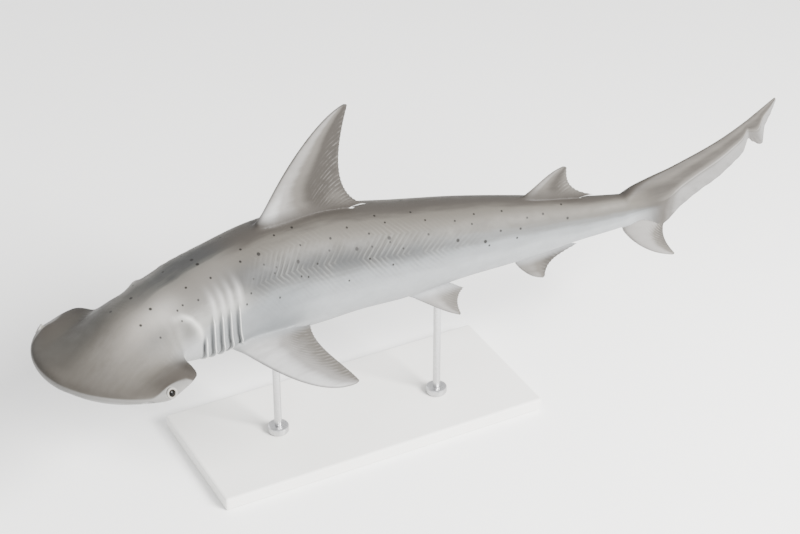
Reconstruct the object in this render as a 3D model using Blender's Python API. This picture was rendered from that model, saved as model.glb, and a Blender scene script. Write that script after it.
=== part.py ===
"""A life-size bonnethead, the smallest of the hammerhead sharks, on a plain display stand.

The shark is described straight, in shares of its length: s runs back from the snout, y to its
right and z up from a line through the rim of the head. The swimming pose bends that line.
"""

import math

import bmesh
import bpy
from mathutils import Matrix, Vector

# Driving sizes, in metres
LENGTH = 1.05
AXIS_HEIGHT = 0.262
GAP = 0.0003

# The swimming bend: how far each place along the body is turned, in degrees
BEND = [
    (0.00, 38.0),
    (0.06, 30.0),
    (0.12, 25.7),
    (0.16, 17.4),
    (0.20, 15.9),
    (0.25, 13.4),
    (0.36, -0.2),
    (0.50, -10.9),
    (0.64, -14.4),
    (0.78, -9.0),
    (1.00, -9.0),
]
BEND_STEPS = 200
MIDDLE = 0.4

# The head is rolled over to its left, in degrees, and held a little low
HEAD_ROLL, HEAD_LIFT = 4.7, -0.0025
ROLL_END, LIFT_END = (0.10, 0.26), (0.00, 0.26)

# The hammer in plan: a half ellipse to its widest place, then rounded corners and the neck
WIDEST = 0.0696
HEAD_HALF_WIDTH = 0.0969
FRONT_POWER = 1.82
OUTLINE = [
    (0.0696, 0.0969),
    (0.0930, 0.0966),
    (0.1062, 0.0945),
    (0.1140, 0.0912),
    (0.1186, 0.0830),
    (0.1218, 0.0720),
    (0.1270, 0.0622),
    (0.1370, 0.0580),
    (0.1450, 0.0580),
    (0.170, 0.0610),
    (0.200, 0.0620),
    (0.250, 0.0610),
    (0.300, 0.0610),
    (0.360, 0.0605),
    (0.420, 0.0600),
    (0.480, 0.0560),
    (0.560, 0.0460),
    (0.640, 0.0330),
    (0.700, 0.0245),
    (0.765, 0.0160),
]

# Height of the back and depth of the belly over and under the line, without the hammer's blade
DEPTHS = [
    (0.000, 0.0000, 0.0000),
    (0.030, 0.0070, 0.0035),
    (0.060, 0.0180, 0.0095),
    (0.090, 0.0312, 0.0210),
    (0.120, 0.0402, 0.0285),
    (0.150, 0.0524, 0.0405),
    (0.170, 0.0550, 0.0480),
    (0.200, 0.0605, 0.0580),
    (0.250, 0.0655, 0.0670),
    (0.300, 0.0710, 0.0740),
    (0.360, 0.0710, 0.0780),
    (0.420, 0.0630, 0.0730),
    (0.480, 0.0540, 0.0700),
    (0.560, 0.0480, 0.0550),
    (0.640, 0.0400, 0.0430),
    (0.700, 0.0310, 0.0290),
    (0.765, 0.0245, 0.0205),
]

# The blade of the hammer
BLADE_HALF = 0.0098
BLADE_POWER = 5.0
RIM_ROUND = 0.020
BLADE_END = (0.100, 0.165)
CORE_REACH = 0.0634
CORE_FILL, CORE_POWERS = (0.030, 0.165), (1.6, 0.5)

# Eyes, let into the side ends of the hammer where the skin faces forward and up by these turns
EYE_S, EYE_Y, EYE_Z = 0.0615, 0.0945, 0.0043
EYE_FORWARD, EYE_UP = 20.0, 28.0
EYE_RADIUS, EYE_SINK = 0.0068, 0.0053
BROW_REACH = 0.016
BROW_HALF = 0.0065
LID_RADIUS, LID_TUBE, LID_OUT = 0.0056, 0.0014, 0.0050
LID_POINTS = 20

# Mouth, nostrils and gills
MOUTH_FRONT, MOUTH_BACK, MOUTH_HALF = 0.078, 0.105, 0.034
MOUTH_POWER, MOUTH_POINTS = 2.2, 24
LIP_TUBE, LIP_SINK = 0.0030, 0.0012
MOUTH_TUBE, MOUTH_RISE = 0.0012, 0.0018
NOSTRIL_S, NOSTRIL_INSET, NOSTRIL_Z = 0.0345, 0.0012, -0.0022
NOSTRIL_SIZE = (0.0070, 0.0022, 0.0030)
GILL_SLITS = (0.1705, 0.1825, 0.1950, 0.2070, 0.2200)
GILL_TOP, GILL_BOTTOM, GILL_FADE = 25.0, -58.0, 18.0
GILL_RISE, GILL_DROP = 0.0016, 0.0016
GILL_RINGS = ((-0.0075, 0.0), (-0.0012, 1.0), (0.0003, -1.0), (0.0030, 0.0))

# Where the body is parted
HEAD_END, GILL_END, TRUNK_MIDDLE, STALK_START, TAIL_START = 0.142, 0.250, 0.440, 0.620, 0.765

# Mesh fineness, and the angle over which an edge stays sharp
AROUND = 32
FIN_CHORD = 7
ROD_SIDES, COLLAR_SIDES = 16, 24
SHARP = math.radians(50)

# A fin's section: how full it is, how its fullness falls to the rear, and its rear edge
FULLNESS, FALL, TAPER = 2.6, 1.1, 0.35
THINNING = 0.8
EDGE = 0.0007

# Fin rays, raised in the rear part of a fin between its rows
RAY_RAISE, RAY_REACH = 0.0007, 0.0010
RAY_START, RAY_FULL = 0.38, 0.70

# Skin and stand colours
BACK_GREY = (0.42, 0.41, 0.39)
FLANK_GREY = (0.60, 0.61, 0.61)
FIN_GREY = (0.55, 0.55, 0.54)
EYE_DARK = (0.05, 0.05, 0.04)
STAND_GREY = (0.72, 0.72, 0.70)
STEEL = (0.62, 0.62, 0.63)

# The stand
BASE_SIZE = (0.46, 0.20, 0.018)
BASE_BEVEL = 0.003
ROD_RADIUS = 0.005
COLLAR_RADIUS, COLLAR_HEIGHT, COLLAR_BEVEL = 0.014, 0.010, 0.002
SADDLE_RADIUS, SADDLE_BELOW, SADDLE_INTO = 0.012, 0.016, 0.012
ROD_PLACES = {"front": 0.315, "rear": 0.530}


def smooth(table, at):
    """The table's columns at this place, on smooth curves through its rows."""
    at = min(max(at, table[0][0]), table[-1][0])
    k = next(k for k in range(len(table) - 1) if at <= table[k + 1][0])
    before, here = table[max(k - 1, 0)], table[k]
    there, after = table[k + 1], table[min(k + 2, len(table) - 1)]
    span = there[0] - here[0]
    t = (at - here[0]) / span
    values = []
    for c in range(1, len(here)):
        leave = span * (there[c] - before[c]) / (there[0] - before[0])
        arrive = span * (after[c] - here[c]) / (after[0] - here[0])
        rise = there[c] - here[c]
        bend = t * t * (3 - 2 * t)
        values.append(
            here[c] + rise * bend + leave * t * (1 - t) ** 2 - arrive * t * t * (1 - t)
        )
    return values


def step(low, high, at):
    """0 before low, 1 after high, and smooth between them."""
    t = min(max((at - low) / (high - low), 0.0), 1.0)
    return t * t * (3 - 2 * t)


def bezier(points, t):
    a, b, c, d = (Vector(p) for p in points)
    u = 1 - t
    return a * u**3 + b * 3 * u * u * t + c * 3 * u * t * t + d * t**3


def bent_line():
    """The place of each step along the body's line, with MIDDLE at the origin."""
    places = [Vector((0, 0, 0))]
    for k in range(BEND_STEPS):
        turn = math.radians(smooth(BEND, (k + 0.5) / BEND_STEPS)[0])
        ahead = Vector((math.cos(turn), math.sin(turn), 0)) / BEND_STEPS
        places.append(places[-1] + ahead)
    middle = places[round(MIDDLE * BEND_STEPS)]
    return [p - middle for p in places]


LINE = bent_line()


def posed(s, y, z):
    """A point of the straight shark, in shares of its length, set in the swimming pose."""
    k = min(max(s, 0.0), 0.9999) * BEND_STEPS
    start, end = LINE[int(k)], LINE[int(k) + 1]
    turn = math.radians(smooth(BEND, s)[0])
    ahead = Vector((math.cos(turn), math.sin(turn), 0))
    right = Vector((-math.sin(turn), math.cos(turn), 0))
    roll = math.radians(HEAD_ROLL) * (1 - step(*ROLL_END, s))
    lift = HEAD_LIFT * (1 - step(*LIFT_END, s))
    aside = y * math.cos(roll) - z * math.sin(roll)
    over = y * math.sin(roll) + z * math.cos(roll) + lift
    on_line = start.lerp(end, k - int(k)) + ahead * min(s, 0.0)
    return (on_line + right * aside + Vector((0, 0, over))) * LENGTH + Vector((0, 0, AXIS_HEIGHT))


def half_width(s):
    if s < WIDEST:
        ahead = (WIDEST - s) / WIDEST
        return HEAD_HALF_WIDTH * max(1 - ahead**FRONT_POWER, 0.0) ** (1 / FRONT_POWER)
    return smooth(OUTLINE, s)[0]


def height(s, y, up):
    """How far the skin is over the line, or under it, at this place of the plan."""
    width = max(half_width(s), 1e-6)
    v = min(abs(y) / width, 1.0)
    rounding = math.sqrt(1 - (1 - min(s / RIM_ROUND, 1.0)) ** 2)
    blade = BLADE_HALF * rounding * (1 - step(*BLADE_END, s))
    core = smooth(DEPTHS, s)[0 if up else 1]
    reach = min(width, CORE_REACH)
    slim, full = CORE_POWERS
    power = slim + (full - slim) * step(*CORE_FILL, s)
    brow = BROW_HALF * math.exp(
        -((s - EYE_S) ** 2 + (abs(y) - EYE_Y) ** 2) / BROW_REACH**2
    )
    shelf = (blade + brow * rounding * (1 - step(*BLADE_END, s))) * math.sqrt(1 - v**BLADE_POWER)
    return shelf + core * max(1 - (min(abs(y) / reach, 1.0)) ** 2, 0.0) ** power


def gill_relief(s, y, z):
    """How far a gill flap stands out of the skin, or its slit sinks in it, in metres."""
    rise = math.degrees(math.atan2(z, abs(y)))
    low_end = step(GILL_BOTTOM, GILL_BOTTOM + GILL_FADE, rise)
    fade = low_end * (1 - step(GILL_TOP - GILL_FADE, GILL_TOP, rise))
    for slit in GILL_SLITS:
        for k in range(len(GILL_RINGS) - 1):
            (low, start), (high, end) = GILL_RINGS[k], GILL_RINGS[k + 1]
            if low <= s - slit <= high:
                level = start + (end - start) * (s - slit - low) / (high - low)
                return fade * level * (GILL_RISE if level > 0 else GILL_DROP)
    return 0.0


def skin_point(s, turn, grow=0.0):
    """A point of the skin, where turn goes once round the body from its right side over the back."""
    y = half_width(s) * math.cos(turn)
    up = math.sin(turn) >= 0
    z = height(s, y, up) * (1 if up else -1)
    out = Vector((0, math.cos(turn), math.sin(turn))) * (grow + gill_relief(s, y, z)) / LENGTH
    return posed(s, y + out.y, z + out.z)


def material(name, colour, roughness, metallic=0.0):
    made = bpy.data.materials.new(name)
    made.use_nodes = True
    shader = made.node_tree.nodes["Principled BSDF"]
    shader.inputs["Base Color"].default_value = (*colour, 1.0)
    shader.inputs["Roughness"].default_value = roughness
    shader.inputs["Metallic"].default_value = metallic
    return made


def add_object(name, mesh, look=None, parent=None, place=(0, 0, 0)):
    made = bpy.data.objects.new(name, mesh)
    bpy.context.scene.collection.objects.link(made)
    made.parent = parent
    made.location = place
    if look:
        mesh.materials.append(look)
    return made


def ringed_mesh(name, rings):
    """A closed mesh through rings of points, with flat ends: a grid rolled up and capped."""
    around = len(rings[0])
    shape = bmesh.new()
    bmesh.ops.create_grid(shape, x_segments=len(rings) - 1, y_segments=around, size=1.0)
    for v in shape.verts:
        ring = round((v.co.x + 1) / 2 * (len(rings) - 1))
        place = round((v.co.y + 1) / 2 * around) % around
        v.co = rings[ring][place]
    bmesh.ops.remove_doubles(shape, verts=shape.verts, dist=1e-6)
    open_edges = [e for e in shape.edges if e.is_boundary]
    bmesh.ops.holes_fill(shape, edges=open_edges, sides=0)
    bmesh.ops.recalc_face_normals(shape, faces=shape.faces)
    bmesh.ops.triangulate(shape, faces=shape.faces, quad_method="FIXED")
    mesh = bpy.data.meshes.new(name)
    shape.to_mesh(mesh)
    shape.free()
    mesh.shade_smooth()
    mesh.set_sharp_from_angle(angle=SHARP)
    return mesh


def body_mesh(name, stations, grow=0.0):
    turns = [2 * math.pi * k / AROUND for k in range(AROUND)]
    rings = [[skin_point(s, turn, grow) for turn in turns] for s in stations]
    return ringed_mesh(name, rings)


def between(start, end, count):
    return [start + (end - start) * k / count for k in range(count + 1)]


def head_stations():
    """Close rings at the rounded front rim and at the swept corners, wider ones between."""
    front = [WIDEST * (1 - math.cos(math.radians(a))) for a in (5, 12, 20, 29, 39, 50, 62, 76)]
    corner = [0.103, 0.1085, 0.1130, 0.1160, 0.1185, 0.1215, 0.1255, 0.1310, 0.1360, HEAD_END]
    return front + [WIDEST, 0.082, 0.094, *corner]


def gill_stations():
    slits = [slit + ring[0] for slit in GILL_SLITS for ring in GILL_RINGS]
    return [HEAD_END + GAP / LENGTH, 0.150, 0.157, *slits, GILL_END]


def cut(target, cutter, operation="DIFFERENCE"):
    """Applies one Boolean with an object, or with a collection of them, to the target's mesh."""
    modifier = target.modifiers.new("cut", "BOOLEAN")
    modifier.operation = operation
    modifier.solver = "EXACT"
    several = isinstance(cutter, bpy.types.Collection)
    modifier.operand_type = "COLLECTION" if several else "OBJECT"
    if several:
        modifier.collection = cutter
    else:
        modifier.object = cutter
    bpy.context.view_layer.update()
    graph = bpy.context.evaluated_depsgraph_get()
    mesh = bpy.data.meshes.new_from_object(target.evaluated_get(graph))
    target.modifiers.clear()
    target.data = mesh


def keep_largest(target):
    """Keeps only the largest closed surface of an object."""
    shape = bmesh.new()
    shape.from_mesh(target.data)
    left, groups = set(shape.verts), []
    while left:
        group, edge = set(), {left.pop()}
        while edge:
            vert = edge.pop()
            group.add(vert)
            near = {e.other_vert(vert) for e in vert.link_edges} - group
            edge |= near
        left -= group
        groups.append(group)
    groups.sort(key=len)
    for group in groups[:-1]:
        bmesh.ops.delete(shape, geom=list(group), context="VERTS")
    bmesh.ops.remove_doubles(shape, verts=shape.verts, dist=1e-6)
    shape.to_mesh(target.data)
    shape.free()
    target.data.shade_smooth()
    target.data.set_sharp_from_angle(angle=SHARP)


def remove(*objects):
    for made in objects:
        bpy.data.objects.remove(made)


def tube(name, points, radius, ring=False):
    """A round tube through the points, capped or closed to a ring, as a closed mesh."""
    curve = bpy.data.curves.new(name, "CURVE")
    curve.dimensions = "3D"
    curve.bevel_depth = radius
    curve.bevel_resolution = 1
    curve.use_fill_caps = not ring
    spline = curve.splines.new("POLY")
    spline.points.add(len(points) - 1)
    spline.use_cyclic_u = ring
    for place, point in zip(spline.points, points):
        place.co = (*point, 1)
    drawn = add_object(name, curve)
    bpy.context.view_layer.update()
    graph = bpy.context.evaluated_depsgraph_get()
    mesh = bpy.data.meshes.new_from_object(drawn.evaluated_get(graph))
    bpy.data.objects.remove(drawn)
    shape = bmesh.new()
    shape.from_mesh(mesh)
    bmesh.ops.remove_doubles(shape, verts=shape.verts, dist=1e-6)
    bmesh.ops.recalc_face_normals(shape, faces=shape.faces)
    shape.to_mesh(mesh)
    shape.free()
    return add_object(name, mesh)


def ball(name, centre, radius, look=None, parent=None):
    shape = bmesh.new()
    bmesh.ops.create_uvsphere(shape, u_segments=20, v_segments=12, radius=radius)
    mesh = bpy.data.meshes.new(name)
    shape.to_mesh(mesh)
    shape.free()
    mesh.shade_smooth()
    return add_object(name, mesh, look, parent, centre)


def mouth_line(sink):
    """Points along the crescent of the mouth, this far inside the underside of the head."""
    points = []
    for k in range(MOUTH_POINTS + 1):
        across = 2 * k / MOUTH_POINTS - 1
        y = MOUTH_HALF * across
        s = MOUTH_FRONT + (MOUTH_BACK - MOUTH_FRONT) * abs(across) ** MOUTH_POWER
        points.append(posed(s, y, -height(s, y, up=False) + sink / LENGTH))
    return points


def eye_facing(side):
    """The way an eye looks: out of the side of the head, turned forward and up."""
    forward, up = math.radians(EYE_FORWARD), math.radians(EYE_UP)
    ds = -math.cos(up) * math.sin(forward)
    dy = side * math.cos(up) * math.cos(forward)
    here = posed(EYE_S, side * EYE_Y, EYE_Z)
    near = 0.001
    there = posed(EYE_S + ds * near, side * EYE_Y + dy * near, EYE_Z + math.sin(up) * near)
    return (there - here).normalized()


def eye_centre(side):
    return posed(EYE_S, side * EYE_Y, EYE_Z) - eye_facing(side) * EYE_SINK


def lid_ring(name, side):
    """The raised lid round an eye, a ring that faces the way the eye looks."""
    out = eye_facing(side)
    along = out.cross(Vector((0, 0, 1))).normalized()
    up = along.cross(out)
    centre = eye_centre(side) + out * LID_OUT
    ring = []
    for k in range(LID_POINTS):
        angle = 2 * math.pi * k / LID_POINTS
        ring.append(centre + (along * math.cos(angle) + up * math.sin(angle)) * LID_RADIUS)
    return tube(name, ring, LID_TUBE, ring=True)


def nostril(name, side):
    """A slot let into the low side of the front rim, along the rim."""
    y = half_width(NOSTRIL_S) - NOSTRIL_INSET
    centre = posed(NOSTRIL_S, side * y, NOSTRIL_Z)
    on_rim = half_width(NOSTRIL_S + 0.001) - half_width(NOSTRIL_S)
    along = posed(NOSTRIL_S + 0.001, side * (y + on_rim), NOSTRIL_Z) - centre
    shape = bmesh.new()
    bmesh.ops.create_icosphere(shape, subdivisions=2, radius=1.0)
    bmesh.ops.scale(shape, verts=shape.verts, vec=NOSTRIL_SIZE)
    bmesh.ops.rotate(
        shape, verts=shape.verts, matrix=Matrix.Rotation(math.atan2(along.y, along.x), 3, "Z")
    )
    mesh = bpy.data.meshes.new(name)
    shape.to_mesh(mesh)
    shape.free()
    return add_object(name, mesh, place=centre)


def build_head(skin, eye_look, shark):
    head = add_object("head", body_mesh("head", head_stations()), skin, shark)
    raised = bpy.data.collections.new("raised")
    bpy.context.scene.collection.children.link(raised)
    raised_pieces = [
        tube("lips", mouth_line(LIP_SINK), LIP_TUBE),
        lid_ring("lid_left", -1),
        lid_ring("lid_right", 1),
    ]
    for piece in raised_pieces:
        bpy.context.scene.collection.objects.unlink(piece)
        raised.objects.link(piece)
    cut(head, raised, "UNION")
    remove(*raised_pieces)
    bpy.data.collections.remove(raised)
    cutters = [
        tube("mouth", mouth_line(-MOUTH_RISE), MOUTH_TUBE),
        nostril("nostril_left", -1),
        nostril("nostril_right", 1),
        ball("socket_left", eye_centre(-1), EYE_RADIUS + GAP),
        ball("socket_right", eye_centre(1), EYE_RADIUS + GAP),
    ]
    for cutter in cutters:
        cut(head, cutter)
    remove(*cutters)
    keep_largest(head)
    for name, side in (("eye_left", -1), ("eye_right", 1)):
        ball(name, eye_centre(side), EYE_RADIUS, eye_look, shark)


def body_parts():
    """The stations of each node of the body behind the head."""
    gap = GAP / LENGTH
    return {
        "gill_region": gill_stations(),
        "trunk_front": between(GILL_END + gap, TRUNK_MIDDLE, 8),
        "trunk_rear": between(TRUNK_MIDDLE + gap, STALK_START, 7),
        "tail_stalk": between(STALK_START + gap, TAIL_START - gap, 6),
    }


def whole_stations():
    """Rings of the whole body, which a fin's root and a rod's end are cut by."""
    behind = [s for stations in body_parts().values() for s in stations]
    return [*head_stations(), *behind]


def build_body(skin, shark):
    for name, stations in body_parts().items():
        add_object(name, body_mesh(name, stations), skin, shark)


# Fins. Each outline is two curves in the plane of the fin, from its root to its tip, and the
# ends of its buried root, in shares of the length. Its rays end evenly along the trailing
# edge, and fan out from the front of the root by its sweep.
FIRST_DORSAL = {
    "leading": [(0.2970, 0.0700), (0.3330, 0.1370), (0.3860, 0.1965), (0.4125, 0.2025)],
    "trailing": [(0.4385, 0.0640), (0.3920, 0.0845), (0.4025, 0.1500), (0.4165, 0.2005)],
    "buried": [(0.3020, 0.0500), (0.3920, 0.0480)],
    "thick": (0.0150, 0.0022),
    "rays": 15,
    "sweep": 2.0,
}
SECOND_DORSAL = {
    "leading": [(0.634, 0.0400), (0.650, 0.0520), (0.668, 0.0740), (0.6850, 0.0778)],
    "trailing": [(0.7290, 0.0315), (0.690, 0.0420), (0.6900, 0.060), (0.6900, 0.0762)],
    "buried": [(0.638, 0.020), (0.696, 0.018)],
    "thick": (0.0080, 0.0016),
    "rays": 8,
    "sweep": 1.8,
}
ANAL = {
    "leading": [(0.624, -0.0450), (0.635, -0.0640), (0.652, -0.0790), (0.6655, -0.0790)],
    "trailing": [(0.7090, -0.0355), (0.684, -0.0480), (0.669, -0.0540), (0.6685, -0.0775)],
    "buried": [(0.628, -0.024), (0.694, -0.014)],
    "thick": (0.0080, 0.0016),
    "rays": 8,
    "sweep": 1.8,
}
TAIL_LOWER_LOBE = {
    "leading": [(0.765, -0.0205), (0.782, -0.0490), (0.812, -0.0730), (0.8430, -0.0785)],
    "trailing": [(0.8265, -0.0290), (0.8235, -0.0440), (0.831, -0.0590), (0.8452, -0.0765)],
    "buried": [(0.772, -0.006), (0.824, -0.012)],
    "thick": (0.0120, 0.0018),
    "rays": 8,
    "sweep": 1.6,
}
PECTORAL = {
    "leading": [(0.2285, -0.0070), (0.2420, 0.0470), (0.2690, 0.1170), (0.3200, 0.1140)],
    "trailing": [(0.3280, 0.0100), (0.3080, 0.0400), (0.3240, 0.0800), (0.3235, 0.1110)],
    "buried": [(0.2340, -0.0220), (0.2960, -0.0220)],
    "thick": (0.0165, 0.0022),
    "rays": 13,
    "sweep": 1.6,
}
PELVIC = {
    "leading": [(0.4770, -0.0040), (0.5030, 0.0105), (0.5240, 0.0280), (0.5460, 0.0345)],
    "trailing": [(0.5570, 0.0020), (0.5460, 0.0100), (0.5440, 0.0200), (0.5478, 0.0330)],
    "buried": [(0.4860, -0.018), (0.5360, -0.018)],
    "thick": (0.0080, 0.0016),
    "rays": 8,
    "sweep": 1.4,
}

# Where each pair of fins is rooted, beside and under the line, and how far it droops
PAIRED = {
    "pectoral_fin": (PECTORAL, 0.265, (0.0475, -0.0455), 14.0),
    "pelvic_fin": (PELVIC, 0.520, (0.0185, -0.0635), 50.0),
}

# The upper lobe of the tail: its upper and lower edge in the shark's middle plane, and
# its thickness, all in shares of the length, from the stalk to the tip
TAIL_UPPER_LOBE = [
    ((0.7653, 0.0245), (0.7653, -0.0205), 0.0320),
    ((0.7800, 0.0345), (0.7860, -0.0225), 0.0240),
    ((0.8030, 0.0435), (0.8080, -0.0255), 0.0170),
    ((0.8265, 0.0510), (0.8262, -0.0290), 0.0130),
    ((0.8490, 0.0595), (0.8470, -0.0080), 0.0110),
    ((0.8725, 0.0690), (0.8720, 0.0105), 0.0095),
    ((0.8940, 0.0790), (0.8955, 0.0245), 0.0080),
    ((0.9110, 0.0885), (0.9170, 0.0430), 0.0068),
    ((0.9215, 0.0950), (0.9290, 0.0560), 0.0058),
    ((0.9270, 0.0985), (0.9337, 0.0735), 0.0052),
    ((0.9310, 0.1012), (0.9400, 0.0690), 0.0046),
    ((0.9385, 0.1070), (0.9541, 0.0635), 0.0040),
    ((0.9470, 0.1130), (0.9552, 0.0870), 0.0034),
    ((0.9570, 0.1205), (0.9612, 0.1035), 0.0028),
    ((0.9640, 0.1255), (0.9660, 0.1190), 0.0020),
]
TAIL_ROUND_ROWS = 14


def fin_fullness(x, roundness):
    """Share of a fin's thickness at x of the way from its leading to its trailing edge."""
    blade = FULLNESS * math.sqrt(x) * (1 - x) ** FALL * (1 - TAPER * x)
    return roundness * math.sqrt(max(4 * x * (1 - x), 0.0)) + (1 - roundness) * blade


def fin_rows(fin):
    """Leading point, trailing point, thickness and ray of each row, from the buried root to the tip."""
    root, tip = fin["thick"]
    count = 2 * fin["rays"] + 1
    rows = [(Vector(fin["buried"][0]), Vector(fin["buried"][1]), root, 0)]
    for k in range(count):
        t = k / (count - 1)
        front, back = bezier(fin["leading"], t ** fin["sweep"]), bezier(fin["trailing"], t)
        rows.append((front, back, root + (tip - root) * t**THINNING, k % 2))
    return rows


def fin_mesh(name, rows, place, grow=0.0, roundness=()):
    """A closed fin through its rows, where place puts a point of its plane in the pose."""
    xs = [math.sin(math.pi / 2 * k / FIN_CHORD) ** 2 for k in range(FIN_CHORD + 1)]
    xs = [0.5 * (x + k / FIN_CHORD) for k, x in enumerate(xs)]
    rings = []
    for row, (front, back, thick, ray) in enumerate(rows):
        chord = (back - front).normalized() / LENGTH
        front, back = front - chord * grow, back + chord * (grow + ray * RAY_REACH)
        full = roundness[row] if row < len(roundness) else 0.0
        upper, lower = [], []
        for x in xs:
            point = front.lerp(back, x)
            raised = ray * RAY_RAISE * step(RAY_START, RAY_FULL, x) * (1 - full)
            half = 0.5 * (thick * fin_fullness(x, full) + EDGE * x / LENGTH)
            half += (raised + grow) / LENGTH
            upper.append(place(point.x, point.y, half))
            lower.append(place(point.x, point.y, -half))
        rings.append([place(front.x, front.y, 0.0), *upper[1:], *reversed(lower[1:])])
    return ringed_mesh(name, rings)


def in_middle(s, z, off):
    return posed(s, off, z)


def beside(side, rooted, root, droop):
    """Places a stiff paired fin: out from the body's side where it is rooted, and down by its droop."""
    across, down = math.cos(math.radians(droop)), math.sin(math.radians(droop))
    turn = math.radians(smooth(BEND, rooted)[0])
    ahead = Vector((math.cos(turn), math.sin(turn), 0)) * LENGTH

    def place(s, reach, off):
        y = root[0] + reach * across + off * down
        z = root[1] - reach * down + off * across
        return posed(rooted, side * y, z) + ahead * (s - rooted)

    return place


def body_cutter():
    """The whole body, grown by the gap, to cut what grows from it or carries it."""
    cutter = add_object("body_cutter", body_mesh("body_cutter", whole_stations(), grow=GAP))
    cutter.hide_render = True
    cutter.display_type = "WIRE"
    return cutter


def build_fins(skin, shark, cutter):
    fins = {
        "first_dorsal_fin": (FIRST_DORSAL, in_middle),
        "second_dorsal_fin": (SECOND_DORSAL, in_middle),
        "anal_fin": (ANAL, in_middle),
    }
    for name, (fin, rooted, root, droop) in PAIRED.items():
        fins[name + "_left"] = (fin, beside(-1, rooted, root, droop))
        fins[name + "_right"] = (fin, beside(1, rooted, root, droop))
    for name, (fin, place) in fins.items():
        made = add_object(name, fin_mesh(name, fin_rows(fin), place), skin, shark)
        cut(made, cutter)
        keep_largest(made)


def tail_rows():
    """The rows of the upper lobe, with a ray between each two and one on each."""
    rows = []
    for k in range(len(TAIL_UPPER_LOBE) - 1):
        here, there = TAIL_UPPER_LOBE[k], TAIL_UPPER_LOBE[k + 1]
        for ray, t in ((0, 0.0), (1, 0.25), (0, 0.5), (1, 0.75)):
            up, down = (Vector(here[i]).lerp(Vector(there[i]), t) for i in (0, 1))
            rows.append((up, down, here[2] + (there[2] - here[2]) * t, ray))
    up, down, thick = TAIL_UPPER_LOBE[-1]
    return [*rows, (Vector(up), Vector(down), thick, 0)]


def build_tail(skin, shark):
    rows = tail_rows()
    rounding = [max(1 - k / TAIL_ROUND_ROWS, 0.0) for k in range(len(rows))]
    upper = fin_mesh("tail_upper_lobe", rows, in_middle, roundness=rounding)
    add_object("tail_upper_lobe", upper, skin, shark)
    cutter = add_object("tail_cutter", fin_mesh("tail_cutter", rows, in_middle, GAP, rounding))
    name = "tail_lower_lobe"
    lower = add_object(name, fin_mesh(name, fin_rows(TAIL_LOWER_LOBE), in_middle), skin, shark)
    cut(lower, cutter)
    keep_largest(lower)
    remove(cutter)


def upright(name, foot, radius, low, high, sides, look, stand, bevel=0.0):
    """A cylinder over this foot, from one height to another."""
    shape = bmesh.new()
    bmesh.ops.create_cone(
        shape, cap_ends=True, segments=sides, radius1=radius, radius2=radius, depth=high - low
    )
    if bevel:
        rims = [e for e in shape.edges if abs(e.verts[0].co.z - e.verts[1].co.z) < GAP]
        bmesh.ops.bevel(shape, geom=rims, offset=bevel, segments=2, profile=0.5, affect="EDGES")
    mesh = bpy.data.meshes.new(name)
    shape.to_mesh(mesh)
    shape.free()
    mesh.shade_smooth()
    mesh.set_sharp_from_angle(angle=SHARP)
    return add_object(name, mesh, look, stand, (foot.x, foot.y, (low + high) / 2))


def build_stand(paint, steel, stand, cutter):
    """A flat base and two rods, each with a collar on the base and a saddle under the belly."""
    feet = {name: posed(s, 0, 0) for name, s in ROD_PLACES.items()}
    middle = (feet["front"] + feet["rear"]) / 2
    shape = bmesh.new()
    bmesh.ops.create_cube(shape, size=1.0)
    bmesh.ops.scale(shape, verts=shape.verts, vec=BASE_SIZE)
    bmesh.ops.bevel(
        shape, geom=shape.edges, offset=BASE_BEVEL, segments=2, profile=0.5, affect="EDGES"
    )
    base = bpy.data.meshes.new("stand_base")
    shape.to_mesh(base)
    shape.free()
    add_object("stand_base", base, paint, stand, (middle.x, 0, BASE_SIZE[2] / 2))
    for name, s in ROD_PLACES.items():
        foot = feet[name]
        belly = AXIS_HEIGHT - height(s, 0, up=False) * LENGTH
        floor = BASE_SIZE[2] + GAP
        top = floor + COLLAR_HEIGHT
        under = belly - SADDLE_BELOW
        collar = ("stand_collar_" + name, foot, COLLAR_RADIUS, floor, top, COLLAR_SIDES)
        upright(*collar, steel, stand, COLLAR_BEVEL)
        rod = ("stand_rod_" + name, foot, ROD_RADIUS, top + GAP, under - GAP, ROD_SIDES)
        upright(*rod, steel, stand)
        saddle = ("stand_saddle_" + name, foot, SADDLE_RADIUS, under, belly + SADDLE_INTO, COLLAR_SIDES)
        made = upright(*saddle, steel, stand)
        cut(made, cutter)
        keep_largest(made)


def centre_on_floor(parents):
    """Moves the parents so that the origin is at the middle of the bottom of the whole."""
    bpy.context.view_layer.update()
    shown = [made for made in bpy.data.objects if made.type == "MESH"]
    corners = [made.matrix_world @ Vector(c) for made in shown for c in made.bound_box]
    for parent in parents:
        for axis in (0, 1):
            along = [c[axis] for c in corners]
            parent.location[axis] = -(max(along) + min(along)) / 2


def main():
    for old in list(bpy.data.objects):
        bpy.data.objects.remove(old)
    shark = add_object("shark", None)
    stand = add_object("stand", None)
    body_skin = material("body_skin", FLANK_GREY, 0.45)
    fin_skin = material("fin_skin", FIN_GREY, 0.5)
    cutter = body_cutter()
    build_head(material("head_skin", BACK_GREY, 0.45), material("eye", EYE_DARK, 0.1), shark)
    build_body(body_skin, shark)
    build_fins(fin_skin, shark, cutter)
    build_tail(fin_skin, shark)
    paint, steel = material("stand_paint", STAND_GREY, 0.5), material("stand_steel", STEEL, 0.3, 1.0)
    build_stand(paint, steel, stand, cutter)
    remove(cutter)
    centre_on_floor([shark, stand])


main()
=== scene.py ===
"""The looks of a life-size bonnethead, held in its swimming pose on a plain display stand."""

import math
import random

import bmesh
import bpy
from mathutils import Matrix, Vector
from mathutils.kdtree import KDTree


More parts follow.
